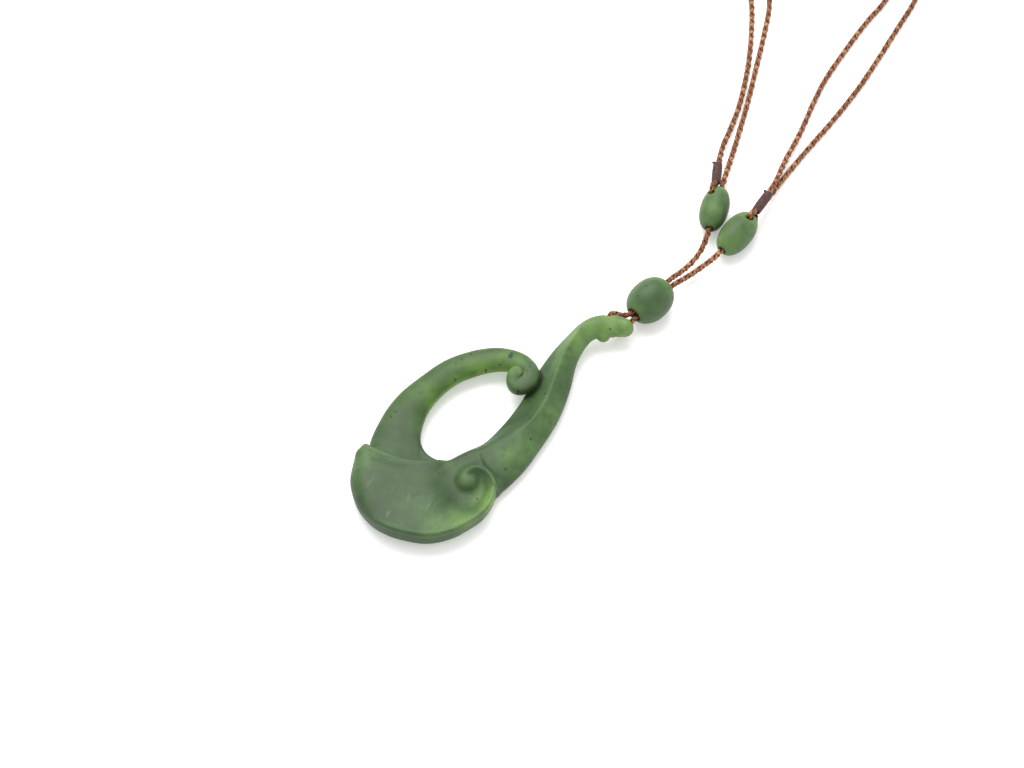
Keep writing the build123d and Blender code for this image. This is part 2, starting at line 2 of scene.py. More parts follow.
# A carved jade hook lies face up on a white table. Its braided cord runs from a bore in the hook's head
# through a round toggle bead and two long side beads, and on round the neck of whoever wears it. The
# measured solids come from the imported model, and this script dresses them. It starts by loading that model.

# %% Load the model
import bpy
import numpy as np
from math import cos, pi, radians, sin, sqrt, tan
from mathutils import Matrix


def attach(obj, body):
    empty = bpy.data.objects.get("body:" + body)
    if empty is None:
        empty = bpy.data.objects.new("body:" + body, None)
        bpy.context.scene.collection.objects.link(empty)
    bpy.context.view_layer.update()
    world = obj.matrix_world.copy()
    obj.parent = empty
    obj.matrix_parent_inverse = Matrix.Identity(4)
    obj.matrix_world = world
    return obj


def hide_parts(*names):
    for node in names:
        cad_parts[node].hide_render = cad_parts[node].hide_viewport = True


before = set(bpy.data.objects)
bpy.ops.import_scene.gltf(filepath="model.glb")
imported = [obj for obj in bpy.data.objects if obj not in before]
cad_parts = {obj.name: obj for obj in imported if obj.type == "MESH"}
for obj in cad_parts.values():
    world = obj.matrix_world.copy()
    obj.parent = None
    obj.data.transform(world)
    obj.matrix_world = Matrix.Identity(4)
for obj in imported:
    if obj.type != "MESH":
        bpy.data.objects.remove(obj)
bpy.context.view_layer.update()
print("nodes:", sorted(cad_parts))

# %% [markdown]
# The camera stands where the photographer stood, 58 degrees above the table and about three quarters of a
# metre away. A long lens is used for small things like this, because it keeps them from looking stretched.
# The lens follows from the measured size of the stone in the picture, and the pieces are then judged
# through it.

# %% Camera
MM = 0.001
ELEVATION = 58.0
DISTANCE = 756 * MM
AIM = np.array((4.48, 15.38, 0.0)) * MM
LENS = 105.47

camera = bpy.data.objects.new("camera", bpy.data.cameras.new("camera"))
camera.data.sensor_width = 36
camera.data.lens = LENS
away = np.array((0, -cos(radians(ELEVATION)), sin(radians(ELEVATION))))
camera.location = AIM + DISTANCE * away
camera.rotation_euler = (radians(90 - ELEVATION), 0, 0)
camera.data.clip_start, camera.data.clip_end = 0.05, 20
bpy.context.scene.collection.objects.link(camera)
bpy.context.scene.camera = camera
print("camera at", [round(v, 4) for v in camera.location])

# %% [markdown]
# The cord is one necklace made of two strands. Each strand starts in the bore of the hook's head, goes
# through the toggle and its own side bead, round the neck, and ends in an eye at the other side bead. A
# strand's line could be a chain of straight runs, but cord bends smoothly. So a NURBS curve takes the same
# points that the solids were swept along, in millimetres from the head's bore, as its control points.

# %% Sizes that the cord and beads share
ANCHOR = np.array((29.031, 29.676, 0.0))
CORD_DIAMETER, EYE_DIAMETER, WHIP_DIAMETER, WHIP_LENGTH = 1.5, 1.2, 2.6, 8.4
TOGGLE_LENGTH, TOGGLE_DIAMETER, FULLNESS = 13.1, 10.6, 2.2
LEFT_LENGTH, LEFT_DIAMETER, LEFT_HOLE, LEFT_SIGN, LEFT_ROLL = 13.6, 7.4, 3.2, 1, 0.0
RIGHT_LENGTH, RIGHT_DIAMETER, RIGHT_HOLE, RIGHT_SIGN, RIGHT_ROLL = 14.0, 8.1, 4.1, -1, -20.0
LEFT_NECK, RIGHT_NECK = (7.1, 1.4, 1.35), (7.1, -0.66, 2.1)
BORE_PLAY, EYE_PLAY, STRAND_GAP, FLOOR_GAP = 0.2, 0.15, 0.1, 0.05
BORE_OFFSET, EYE_OFFSET, WHIP_GAP = 0.2, 1.75, 0.5
BORE_SLOPE, BORE_HEIGHT = 45.0, 3.9
BORE_MEET, BORE_FAR, BORE_NEAR = 0.4, 2.75, -1.0


def eye_top(length, diameter, hole):
    """Height of the eye's strand over the bead's middle where it turns down into the hole."""
    radius = diameter / 2 * (1 - (2 * hole / length) ** FULLNESS) ** (1 / FULLNESS)
    return sqrt(radius**2 - EYE_OFFSET**2) + EYE_DIAMETER / 2 + 0.05


def side_up(diameter, top, sign, roll):
    """Underside of the strand in a side bead, with the bead or its eye just above the rest."""
    s, c = sin(radians(roll)), cos(radians(roll))
    lowest = max(diameter / 2, top * c - sign * EYE_OFFSET * s + EYE_DIAMETER / 2)
    return lowest + FLOOR_GAP - sign * BORE_OFFSET * s - CORD_DIAMETER / 2


LEFT_TOP = eye_top(LEFT_LENGTH, LEFT_DIAMETER, LEFT_HOLE)
RIGHT_TOP = eye_top(RIGHT_LENGTH, RIGHT_DIAMETER, RIGHT_HOLE)
LEFT_UP = side_up(LEFT_DIAMETER, LEFT_TOP, LEFT_SIGN, LEFT_ROLL)
RIGHT_UP = side_up(RIGHT_DIAMETER, RIGHT_TOP, RIGHT_SIGN, RIGHT_ROLL)
TOGGLE_UP = (TOGGLE_DIAMETER - CORD_DIAMETER) / 2
print("side bores lie", round(LEFT_UP, 3), "and", round(RIGHT_UP, 3), "mm up to the strand's underside")

# %% Points of the two routes: right of the head's bore, away from it, and up to the strand's underside
FAR_LEG = [(1.6, 3.55, 4.4), (3.8, 3.25, 3.8)]
NEAR_LEG = [(0.8, -0.75, 0.9), (2.6, 0.5, 0.2), (4.6, 1.2, 1.7)]
TOGGLE_RUN = [(5.8, 2.4, TOGGLE_UP), (15.4, 12.6, TOGGLE_UP)]
LEFT_LEG = [(20.3, 18.4, 3.05), (23.9, 23.7, 2.15)]
LEFT_SIDE_RUN = [(25.9, 28.1, LEFT_UP), (30.6, 45.2, LEFT_UP)]
LEFT_INNER = [
    (33.0, 54.0, 1.15), (34.9, 61.0, 0), (37.8, 71.2, 0), (40.7, 83.3, 0), (43.9, 97.0, 0), (46.4, 109.0, 0),
]
INNER_RING = [
    (44.5, 118, 0), (37, 127, 0), (23, 132.5, 0), (5, 133, 0), (-11, 134.5, 0), (-23.5, 140.5, 0),
    (-28.3, 149.5, 0), (-23, 160, 0), (-8, 170, 0), (13, 176, 0), (36, 177, 0), (57, 172.5, 0),
    (73.5, 163.5, 0), (84, 151, 0), (87.8, 137, 0), (86, 124, 0),
]
RIGHT_INNER = [
    (78, 109, 0), (71.5, 101, 0), (64.9, 90.5, 0), (59.3, 81.4, 0), (55.4, 72.4, 0), (51.6, 62.8, 0),
    (47.2, 53.8, 1.0), (44.0, 44.2, 3.3),
]
RIGHT_LEG = [(20.2, 16.0, 2.25), (24.6, 19.9, 1.75)]
RIGHT_SIDE_RUN = [(28.3, 22.1, RIGHT_UP), (38.7, 36.1, RIGHT_UP)]
RIGHT_OUTER = [
    (42.0, 41.0, 1.3), (46.3, 48.3, 0), (53.5, 58.3, 0), (61.0, 68.0, 0), (68.0, 78.0, 0), (74.3, 88.6, 0),
    (80.4, 99.6, 0), (86, 109, 0),
]
OUTER_RING = [
    (90.5, 122, 0), (92.5, 137, 0), (88.5, 153, 0), (77, 167, 0), (59, 177, 0), (36, 181.5, 0),
    (12, 180.5, 0), (-10, 174.5, 0), (-27, 163, 0), (-33, 150, 0), (-28, 137, 0), (-13, 131, 0),
    (4, 129, 0), (21, 128.3, 0), (33, 123.5, 0), (39.5, 116.5, 0),
]
LEFT_OUTER = [
    (41.2, 109, 0), (40.4, 96, 0), (38.8, 84, 0), (36.1, 72.5, 0), (33.4, 64.6, 0.3), (30.0, 55.8, 1.6),
]
print("places on the rings:", len(INNER_RING), "and", len(OUTER_RING))

# %% Directions and places


def unit(v):
    """Each vector divided by its own length."""
    v = np.asarray(v, float)
    return v / np.linalg.norm(v, axis=-1, keepdims=True)


def placed(points):
    """Places of the strand's middle, in millimetres: the head's bore plus the point plus half the strand."""
    return [ANCHOR + (x, y, up + CORD_DIAMETER / 2) for x, y, up in points]


def bore_point(along):
    """A place on the head's bore, which rises away from the viewer at its slope."""
    return ANCHOR + (0, along, BORE_HEIGHT + along * tan(radians(BORE_SLOPE)))


def bead_axes(run, roll=0.0):
    """Middle of a run and three unit vectors: along it, then left and up, rolled about the first."""
    along = unit(run[1] - run[0])
    left = unit(np.cross((0, 0, 1), along))
    up = np.cross(along, left)
    c, s = cos(radians(roll)), sin(radians(roll))
    return (run[0] + run[1]) / 2, np.array((along, c * left + s * up, c * up - s * left))


def strand_run(run, sign):
    """One strand's run in the toggle: moved up and aside by half the strands' spacing, or down and back."""
    step = unit(bead_axes(run)[1][1] + (0, 0, 1)) * sign * (CORD_DIAMETER + STRAND_GAP) / 2
    return [run[0] + step, run[1] + step]


# %% The two routes
toggle_run, left_run, right_run = placed(TOGGLE_RUN), placed(LEFT_SIDE_RUN), placed(RIGHT_SIDE_RUN)
toggle_middle, toggle_axes = bead_axes(toggle_run)
left_middle, left_axes = bead_axes(left_run, LEFT_ROLL)
right_middle, right_axes = bead_axes(right_run, RIGHT_ROLL)
left_middle = left_middle + LEFT_SIGN * BORE_OFFSET * left_axes[1]
right_middle = right_middle + RIGHT_SIGN * BORE_OFFSET * right_axes[1]
left_neck = left_middle + np.array(LEFT_NECK) @ bead_axes(left_run)[1]
right_neck = right_middle + np.array(RIGHT_NECK) @ bead_axes(right_run)[1]

left_route = [bore_point(BORE_MEET), bore_point(BORE_FAR)] + placed(FAR_LEG) + strand_run(toggle_run, 1)
left_route += placed(LEFT_LEG) + left_run + placed(LEFT_INNER + INNER_RING + RIGHT_INNER) + [right_neck]
right_route = [bore_point(BORE_MEET), bore_point(BORE_NEAR)] + placed(NEAR_LEG) + strand_run(toggle_run, -1)
right_route += placed(RIGHT_LEG) + right_run + placed(RIGHT_OUTER + OUTER_RING + LEFT_OUTER) + [left_neck]
print("control points:", len(left_route), "and", len(right_route))

# %% Read a smooth line from each route


def spline_line(points, step):
    """A NURBS curve of order 3 on the control points, read back as places a step apart, in millimetres."""
    data = bpy.data.curves.new("route", "CURVE")
    data.dimensions, data.resolution_u = "3D", 24
    spline = data.splines.new("NURBS")
    spline.points.add(len(points) - 1)
    spline.points.foreach_set("co", np.column_stack([np.array(points) * MM, np.ones(len(points))]).ravel())
    spline.order_u, spline.use_endpoint_u = 3, True
    curve = bpy.data.objects.new("route", data)
    mesh = bpy.data.meshes.new_from_object(curve)
    places = np.empty(3 * len(mesh.vertices))
    mesh.vertices.foreach_get("co", places)
    places = places.reshape(-1, 3) / MM
    bpy.data.objects.remove(curve)
    bpy.data.meshes.remove(mesh)
    walked = np.concatenate([[0], np.cumsum(np.linalg.norm(np.diff(places, axis=0), axis=1))])
    at = np.linspace(0, walked[-1], max(2, round(walked[-1] / step)) + 1)
    return np.column_stack([np.interp(at, walked, places[:, k]) for k in range(3)])


def line_length(line):
    """Sum of the distances between neighbours."""
    return np.linalg.norm(np.diff(line, axis=0), axis=1).sum()


LINE_STEP, EYE_STEP = 0.18, 0.13
left_line, right_line = spline_line(left_route, LINE_STEP), spline_line(right_route, LINE_STEP)
print("left strand", round(line_length(left_line), 1), "mm")
print("right strand", round(line_length(right_line), 1), "mm")

# %% [markdown]
# Close up, the cord is a round plait: four soft strands wind round one line, two each way, and pass over
# and under each other. It could be a smooth tube with a bump pattern, but the plait shows on its outline
# in the photograph, so the strands are real surfaces. Each is an oval section carried along a helix whose
# radius swells where it passes over and shrinks where it passes under.

# %% Axes along a line, and a tube's faces


def axes_along(line, reference):
    """Unit tangent t of a line, then a = t x reference and b = a x t, each for every point."""
    tangent = unit(np.gradient(line, axis=0))
    across = unit(np.cross(tangent, reference))
    return tangent, across, np.cross(across, tangent)


def tube_faces(count, around, first=0):
    """Quads between rings of a tube and a fan over each end, whose middle points come after the rings."""
    ring = first + np.arange(count * around).reshape(count, around)
    here, there = ring[:-1], ring[1:]
    quads = np.stack([here, np.roll(here, -1, 1), np.roll(there, -1, 1), there], -1).reshape(-1, 4)
    start, end = first + count * around, first + count * around + 1
    fans = [np.stack([np.roll(ring[0], -1), ring[0], np.full(around, start)], 1)]
    fans.append(np.stack([ring[-1], np.roll(ring[-1], -1), np.full(around, end)], 1))
    return quads, np.vstack(fans)


print("a tube of 3 rings of 8 has", len(tube_faces(3, 8)[0]), "quads")

# %% From arrays to an object


def mesh_object(name, points, quads, triangles, attributes=()):
    """An object at the origin, its places in millimetres made metres, smooth all over, with named values."""
    mesh = bpy.data.meshes.new(name)
    corners = np.concatenate([np.ravel(quads), np.ravel(triangles)]).astype(np.int32)
    sizes = np.concatenate([np.full(len(quads), 4), np.full(len(triangles), 3)])
    mesh.vertices.add(len(points))
    mesh.vertices.foreach_set("co", (np.asarray(points) * MM).ravel())
    mesh.loops.add(len(corners))
    mesh.loops.foreach_set("vertex_index", corners)
    mesh.polygons.add(len(sizes))
    mesh.polygons.foreach_set("loop_start", np.concatenate([[0], np.cumsum(sizes)[:-1]]).astype(np.int32))
    for title, values in dict(attributes).items():
        mesh.attributes.new(title, "FLOAT", "POINT").data.foreach_set("value", np.asarray(values, np.float32))
    mesh.update(calc_edges=True)
    mesh.validate()
    mesh.shade_smooth()
    piece = bpy.data.objects.new(name, mesh)
    bpy.context.scene.collection.objects.link(piece)
    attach(piece, "root")
    print(name, len(points), "points,", 2 * len(quads) + len(triangles), "triangles")
    return piece


# %% The plait
RADIUS_SHARE, SWELL_SHARE, THIN_SHARE, WIDE_ANGLE = 0.300, 0.088, 0.16, 1.3


def plait(name, line, reference, diameter, pitch, around=8):
    """Four strands round a line. At distance s the phase is p = 2 pi s / pitch; strand k stands at the angle
    h p + pi k, h = 1 for two of them and -1 for the others, at the radius r + h d cos 2p. Its section is an
    oval bent round the cord: the angle a + w sin q and the radius r + t cos q, with q once round it. Two
    sines multiplied vary t along each strand by up to a quarter, because hand-made cord is uneven."""
    _, across, up = axes_along(line, reference)
    s = np.concatenate([[0], np.cumsum(np.linalg.norm(np.diff(line, axis=0), axis=1))])
    phase = 2 * pi * s / pitch
    diameter = np.broadcast_to(diameter, len(line))[:, None]
    radius, swell, thin = (diameter * share for share in (RADIUS_SHARE, SWELL_SHARE, THIN_SHARE))
    turn = 2 * pi * np.arange(around) / around
    points, quads, fans, outward = [], [], [], []
    for k, hand in enumerate((1, -1, 1, -1)):
        angle = (hand * phase + pi * (k // 2))[:, None]
        uneven = (1 + 0.25 * np.sin(2 * pi * s / 4.3 + 1.9 * k) * np.sin(2 * pi * s / 11.7 + k))[:, None]
        out = radius + hand * swell * np.cos(2 * phase)[:, None] + uneven * thin * np.cos(turn)
        bent = angle + WIDE_ANGLE * np.sin(turn)
        x, y = out * np.cos(bent), out * np.sin(bent)
        rings = line[:, None] + x[..., None] * across[:, None] + y[..., None] * up[:, None]
        tips = np.stack([rings[0].mean(0), rings[-1].mean(0)])
        faces = tube_faces(len(line), around, sum(len(p) for p in points))
        points += [rings.reshape(-1, 3), tips]
        quads.append(faces[0])
        fans.append(faces[1])
        reach = np.hypot(x, y) / (diameter / 2)
        outward.append(np.concatenate([reach.ravel(), reach[[0, -1]].mean(1)]))
    values = {"reach": np.concatenate(outward)}
    return mesh_object(name, np.vstack(points), np.vstack(quads), np.vstack(fans), values)


# %% Plait the two strands
UP = (0, 0, 1)
PITCH, EYE_PITCH = 5.0, 4.0
cord_left = plait("plaited_cord_left", left_line, UP, CORD_DIAMETER, PITCH)
cord_right = plait("plaited_cord_right", right_line, UP, CORD_DIAMETER, PITCH)

# %% [markdown]
# At each side bead the other strand comes back, thinner, as an eye: it goes up beside the bead's bore,
# through a cross hole near the bead's end, and returns to where thread is wound round both. The eye is the
# same plait on a tighter line. That line stands upright, so the plait is steadied by the bead's own side
# instead of by the world's up.

# %% Lines of the eyes


def eye_points(middle, axes, sign, hole, top, neck, level):
    """Places along an eye, each so far along, aside and up from the bead's middle: from over the whipping's
    end, down through the cross hole and back to under the whipping."""
    reach, aside, lift = neck
    y, under = sign * EYE_OFFSET, lift - (WHIP_DIAMETER + EYE_DIAMETER) / 2 - 0.1
    start = [(reach - WHIP_GAP, aside + sign * 0.1, lift + 0.85)]
    loop = [(hole + 1.8, y + sign * 0.3, 0.95 * top), (hole, y, top), (hole, y, -top)]
    loop += [(hole + 1.9, 0.1 * y, -0.97 * top)]
    end = [(reach + 0.3, aside, under - 1.3), (reach + 0.4, aside, under)]
    parts = ((start, level), (loop, axes), (end, level))
    return [middle + np.array(p) @ directions for part, directions in parts for p in part]


left_level, right_level = bead_axes(left_run)[1], bead_axes(right_run)[1]
left_places = eye_points(left_middle, left_axes, LEFT_SIGN, LEFT_HOLE, LEFT_TOP, LEFT_NECK, left_level)
left_eye_line = spline_line(left_places, EYE_STEP)
right_places = eye_points(
    right_middle, right_axes, RIGHT_SIGN, RIGHT_HOLE, RIGHT_TOP, RIGHT_NECK, right_level,
)
right_eye_line = spline_line(right_places, EYE_STEP)
print("left eye", round(line_length(left_eye_line), 1), "mm")
print("right eye", round(line_length(right_eye_line), 1), "mm")

# %% Plait the eyes
FULLER = 0.35


def smooth_step(a, b, v):
    """0 at a, 1 at b, with no corner between."""
    t = np.clip((v - a) / (b - a), 0, 1)
    return t * t * (3 - 2 * t)


def eye_diameters(line, middle, axes, hole):
    """The eye's own diameter within the cross hole, and fuller beyond it."""
    return EYE_DIAMETER + FULLER * smooth_step(0.7, 1.9, (line - middle) @ axes[0] - hole)


left_thick = eye_diameters(left_eye_line, left_middle, left_axes, LEFT_HOLE)
right_thick = eye_diameters(right_eye_line, right_middle, right_axes, RIGHT_HOLE)
eye_left = plait("eye_of_left_bead", left_eye_line, left_axes[1], left_thick, EYE_PITCH)
eye_right = plait("eye_of_right_bead", right_eye_line, right_axes[1], right_thick, EYE_PITCH)

# %% [markdown]
# Dark thread is wound tightly over each strand's end and ties the eye in. A ring could be drawn as a
# sleeve with grooves, but real winding is one thread that climbs a turn at a time and ends in a small
# tuft. So the thread is a thin tube along a helix, on a barrel that is fuller in the middle.

# %% A thread
THREAD_SIDES, TURN_STEPS = 6, 18


def thread(places, reference, thickness):
    """The rings of a thin round tube along a line, the middles of its two ends, and the cosine of each
    point's angle from a = t x reference, so 1 on the tube's outer side and -1 on its inner one."""
    _, across, up = axes_along(places, reference)
    turn = 2 * pi * np.arange(THREAD_SIDES) / THREAD_SIDES
    x, y = thickness / 2 * np.cos(turn), thickness / 2 * np.sin(turn)
    rings = places[:, None] + x[:, None] * across[:, None] + y[:, None] * up[:, None]
    return rings, np.stack([places[0], places[-1]]), np.append(np.tile(np.cos(turn), len(places)), (0, 0))


# %% The whippings


def whipping(name, end, before, turns=15, thickness=0.53):
    """Thread at the distance x = L u along the last run, u from 0 to 1, at the angle 2 pi n u and the radius
    R (0.84 + 0.16 sqrt(sin(pi u))), then a tuft of three short ends."""
    along = unit(before - end)
    left = unit(np.cross(UP, along))
    up = np.cross(along, left)
    u = np.linspace(0, 1, turns * TURN_STEPS + 1)
    radius = (WHIP_DIAMETER - thickness) / 2 * (0.84 + 0.16 * np.sqrt(np.sin(pi * u)))
    angle = 2 * pi * turns * u
    x = thickness / 2 + (WHIP_LENGTH - thickness) * u
    helix = end + x[:, None] * along
    strands = [helix + (radius * np.cos(angle))[:, None] * left + (radius * np.sin(angle))[:, None] * up]
    base = end + (WHIP_LENGTH - 0.35) * along + 0.85 * left + 0.2 * up
    t = np.linspace(0, 1, 9)[:, None]
    for lean, rise in ((0.15, 0.55), (-0.1, 0.45), (0.3, 0.3)):
        strands.append(base + (lean * along + rise * left) * t + 0.15 * np.sin(pi * t) * up)
    points, quads, fans, outward = [], [], [], []
    for places in strands:
        rings, tips, reach = thread(places, along, thickness)
        faces = tube_faces(len(places), THREAD_SIDES, sum(len(p) for p in points))
        points += [rings.reshape(-1, 3), tips]
        quads.append(faces[0])
        fans.append(faces[1])
        outward.append(reach)
    values = {"reach": np.concatenate(outward)}
    return mesh_object(name, np.vstack(points), np.vstack(quads), np.vstack(fans), values)


whipping_left = whipping("whipping_of_left_bead", right_route[-1], right_route[-2])
whipping_right = whipping("whipping_of_right_bead", left_route[-1], left_route[-2])

# %% [markdown]
# The hook is carved from one pebble: a broad bowl with a crisp rim, a ridged shank, a thin arm that rises
# out of the bowl and curls in, and small spirals. It could be sculpted by hand, but its forms are sweeps of
# discs and soft unions, so one formula says how deep any point lies in the stone. The solids were made from
# that formula in coarse facets. Here it is worked out again on a grid four times as fine.

# %% Sizes and tables of the carving, as shares of its width and length
LENGTH, WIDTH = 87.0, 40.0
BOWL_THICK, SHANK_THICK, ARM_THICK, ARM_LIFT, HEAD_LIFT = 7.4, 6.4, 4.6, 1.6, 3.0
UNDERCUT, UNDERCUT_HEIGHT = 3.2, 4.6
RIM_EASE, ROLL_REACH, ROLL_DROP, EDGE_EASE = 0.8, 4.6, 3.4, 0.9
SHANK_BLEND, BOWL_BLEND, NOTCH_BLEND, BAY_BLEND = 2.0, 1.6, 0.3, 9.5
BULB_RADIUS, DISH_DEPTH, DISH_REACH, DISH_LEAN, TOP_FALL = 2.2, 2.9, 4.5, 2.5, 1.8
KORU_DROP, KORU_EASE, KORU_BLEND = 0.9, 0.8, 0.5
KNOB_RADIUS, KNOB_HEIGHT, KNOB_BLEND, KNOB_PLACE, HEAD_EYE = 1.8, 4.2, 0.4, (0.143, 0.911), (0.130, 0.9425)
TURN = radians(-43.0)
SHANK = [
    # across, along, half, rise, thick, crest
    (0.170, 0.200, 0.120, 0.00, 0.80, -0.60),
    (0.235, 0.300, 0.188, 0.00, 0.84, -0.60),
    (0.279, 0.400, 0.164, 0.00, 0.90, -0.45),
    (0.264, 0.495, 0.147, 0.00, 0.97, -0.05),
    (0.222, 0.595, 0.136, 0.05, 1.00, 0.16),
    (0.150, 0.684, 0.124, 0.15, 1.00, 0.13),
    (0.083, 0.765, 0.094, 0.36, 0.95, 0.02),
    (0.056, 0.828, 0.076, 0.58, 0.90, -0.10),
    (0.054, 0.878, 0.071, 0.78, 0.84, -0.30),
    (0.090, 0.919, 0.075, 0.92, 0.80, -0.30),
    (0.155, 0.948, 0.076, 1.00, 0.80, 0.00),
    (0.218, 0.965, 0.060, 1.00, 0.80, 0.00),
]
ARM = [
    # across, along, half, rise, thick
    (-0.030, 0.150, 0.150, 0.00, 1.00),
    (-0.225, 0.212, 0.160, 0.25, 1.02),
    (-0.328, 0.285, 0.138, 0.50, 1.05),
    (-0.385, 0.362, 0.115, 0.70, 1.05),
    (-0.394, 0.446, 0.096, 0.85, 1.00),
    (-0.372, 0.522, 0.092, 0.95, 0.98),
    (-0.315, 0.584, 0.090, 1.00, 0.96),
    (-0.245, 0.630, 0.086, 1.10, 0.96),
    (-0.170, 0.657, 0.080, 1.30, 0.98),
    (-0.088, 0.669, 0.076, 1.55, 1.00),
    (-0.020, 0.667, 0.071, 1.75, 1.00),
]
CURL = [
    # across, along, half, rise, thick
    (-0.088, 0.669, 0.076, 1.55, 1.00),
    (-0.027, 0.667, 0.071, 1.75, 1.02),
    (0.018, 0.657, 0.066, 1.95, 1.02),
    (0.040, 0.638, 0.064, 2.05, 0.98),
    (0.038, 0.617, 0.061, 2.10, 0.96),
    (0.023, 0.607, 0.057, 2.10, 0.95),
    (0.000, 0.607, 0.054, 2.15, 0.97),
    (-0.023, 0.617, 0.055, 2.20, 1.00),
    (-0.027, 0.629, 0.058, 2.20, 1.04),
]
BOWL = [
    # across, along
    (-0.403, 0.179), (-0.400, 0.160), (-0.383, 0.134), (-0.353, 0.106), (-0.280, 0.060),
    (-0.190, 0.030), (-0.100, 0.010), (-0.007, 0.002), (0.074, 0.003), (0.165, 0.014),
    (0.256, 0.034), (0.343, 0.060), (0.408, 0.094), (0.455, 0.135), (0.478, 0.174),
    (0.495, 0.217), (0.491, 0.251), (0.470, 0.285), (0.430, 0.315), (0.385, 0.333),
    (0.330, 0.343), (0.275, 0.346), (0.205, 0.355), (0.135, 0.367), (0.097, 0.328),
    (0.070, 0.299), (0.018, 0.270), (-0.038, 0.241), (-0.110, 0.215), (-0.185, 0.196), (-0.262, 0.182),
    (-0.330, 0.174), (-0.372, 0.171),
]
KORU = [
    # across, along, half
    (0.413, 0.319, 0.013),
    (0.355, 0.333, 0.018),
    (0.294, 0.336, 0.023),
    (0.244, 0.328, 0.026),
    (0.222, 0.312, 0.029),
    (0.219, 0.296, 0.036),
    (0.236, 0.284, 0.048),
    (0.257, 0.281, 0.058),
]
print("carving:", LENGTH, "by", WIDTH, "mm")

# %% Soft joins


def smooth_path(points, steps, closed=False):
    """Catmull-Rom curve through the rows of points, with a number of steps in each span."""
    p = np.asarray(points, float)
    if closed:
        q = np.vstack([p[-1:], p, p[:2]])
    else:
        q = np.vstack([2 * p[0] - p[1], p, 2 * p[-1] - p[-2]])
    t = np.linspace(0, 1, steps, endpoint=False)[None, :, None]
    a, b, c, d = q[:-3, None], q[1:-2, None], q[2:-1, None], q[3:, None]
    run = b + (c - a) * t / 2 + (2 * a - 5 * b + 4 * c - d) * t**2 / 2 + (3 * b - a - 3 * c + d) * t**3 / 2
    run = run.reshape(-1, p.shape[1])
    return run if closed else np.vstack([run, p[-1:]])


def soft_min(a, b, r):
    """The lesser of two fields, rounded over a width r where they are close."""
    h = np.clip(0.5 + 0.5 * (b - a) / r, 0, 1)
    return b * (1 - h) + a * h - r * h * (1 - h)


def soft_max(a, b, r):
    """The greater of two fields, rounded over a width r where they are close."""
    return -soft_min(-a, -b, r)


print("two fields of 1 mm, joined over 1 mm:", soft_min(1, 1, 1), "and", soft_max(1, 1, 1), "mm")

# %% Bands of discs, and the bowl's outline


def band(x, y, table, steps=16):
    """Depth in the discs along a band, the side from -1 to 1, and the table's columns. The deepest disc is
    found between the samples, at the top of the parabola through the best one and its two neighbours."""
    path = smooth_path(table, steps)
    cx, cy, half = path[:, 0] * WIDTH, path[:, 1] * LENGTH, path[:, 2] * WIDTH
    depth = half - np.hypot(x[..., None] - cx, y[..., None] - cy)
    best = np.argmax(depth, axis=-1)
    inner = np.clip(best, 1, len(path) - 2)
    take = lambda k: np.take_along_axis(depth, (inner + k)[..., None], -1)[..., 0]
    before, here, after = take(-1), take(0), take(1)
    bend = np.minimum(before - 2 * here + after, -1e-9)
    shift = np.clip(0.5 * (before - after) / bend, -1, 1)
    deepest = here - 0.25 * (before - after) * shift
    at = inner + shift
    column = lambda values: np.interp(at, np.arange(len(path)), values)
    tangent = np.gradient(np.stack([cx, cy], 1), axis=0)
    hand = np.sign((x - column(cx)) * column(tangent[:, 1]) - (y - column(cy)) * column(tangent[:, 0]))
    width = column(half)
    return deepest, np.clip(hand * (width - deepest) / width, -1, 1), [column(c) for c in path[:, 3:].T]


def outline_depth(x, y, points):
    """Distance inside a closed curve, negative outside it."""
    p = smooth_path(points, 10, closed=True) * (WIDTH, LENGTH)
    q = np.roll(p, -1, axis=0)
    e = q - p
    px, py = x[..., None] - p[:, 0], y[..., None] - p[:, 1]
    t = np.clip((px * e[:, 0] + py * e[:, 1]) / (e**2).sum(1), 0, 1)
    gap = np.sqrt(((px - t * e[:, 0]) ** 2 + (py - t * e[:, 1]) ** 2).min(-1))
    rising = (p[:, 1] > y[..., None]) != (q[:, 1] > y[..., None])
    slope = e[:, 0] / np.where(e[:, 1] == 0, 1, e[:, 1])
    crossings = (rising & (px < slope * py)).sum(-1)
    return np.where(crossings % 2 == 1, gap, -gap)


spot = np.array([0.0]), np.array([0.12 * LENGTH])
print("the bowl's middle lies", outline_depth(*spot, BOWL)[0].round(1), "mm inside its outline")

# %% Tops and undersides of shank, arm and bowl


def shank(x, y):
    """Depth, top and underside of the ridged shank: two flanks that meet at the crest, domed at the head.
    Each flank rises from 0 at its edge to 1 at the crest. Dull is the width over which the crest is rounded,
    and ease lets the flanks bulge and the crest fade where the shank runs down into the bowl."""
    depth, side, (rise, thick, crest) = band(x, y, SHANK)
    low, full = rise * HEAD_LIFT, thick * SHANK_THICK
    left = np.clip((side + 1) / (crest + 1), 0, 1) ** 1.4
    right = np.clip((1 - side) / (1 - crest), 0, 1) ** 0.8
    head = smooth_step(0.84, 0.92, y / LENGTH)
    dull = 0.35 + 0.75 * smooth_step(0.56, 0.42, y / LENGTH) + 0.55 * smooth_step(0.74, 0.84, y / LENGTH)
    ease = 1 + smooth_step(0.54, 0.42, y / LENGTH)
    left, right = 1 - (1 - left) ** ease, 1 - (1 - right) ** ease
    ridge = soft_min(left, right, dull) / (1 - dull / 4)
    crown = ridge * (1 - head) + head * (1 - side**2) ** 0.6
    scoop = 0.20 * np.exp(-(((x / WIDTH - 0.16) / 0.075) ** 2) - ((y / LENGTH - 0.938) / 0.030) ** 2)
    return depth, low + full * (0.50 + 0.50 * crown - scoop), low + 0.30 * full * side**2


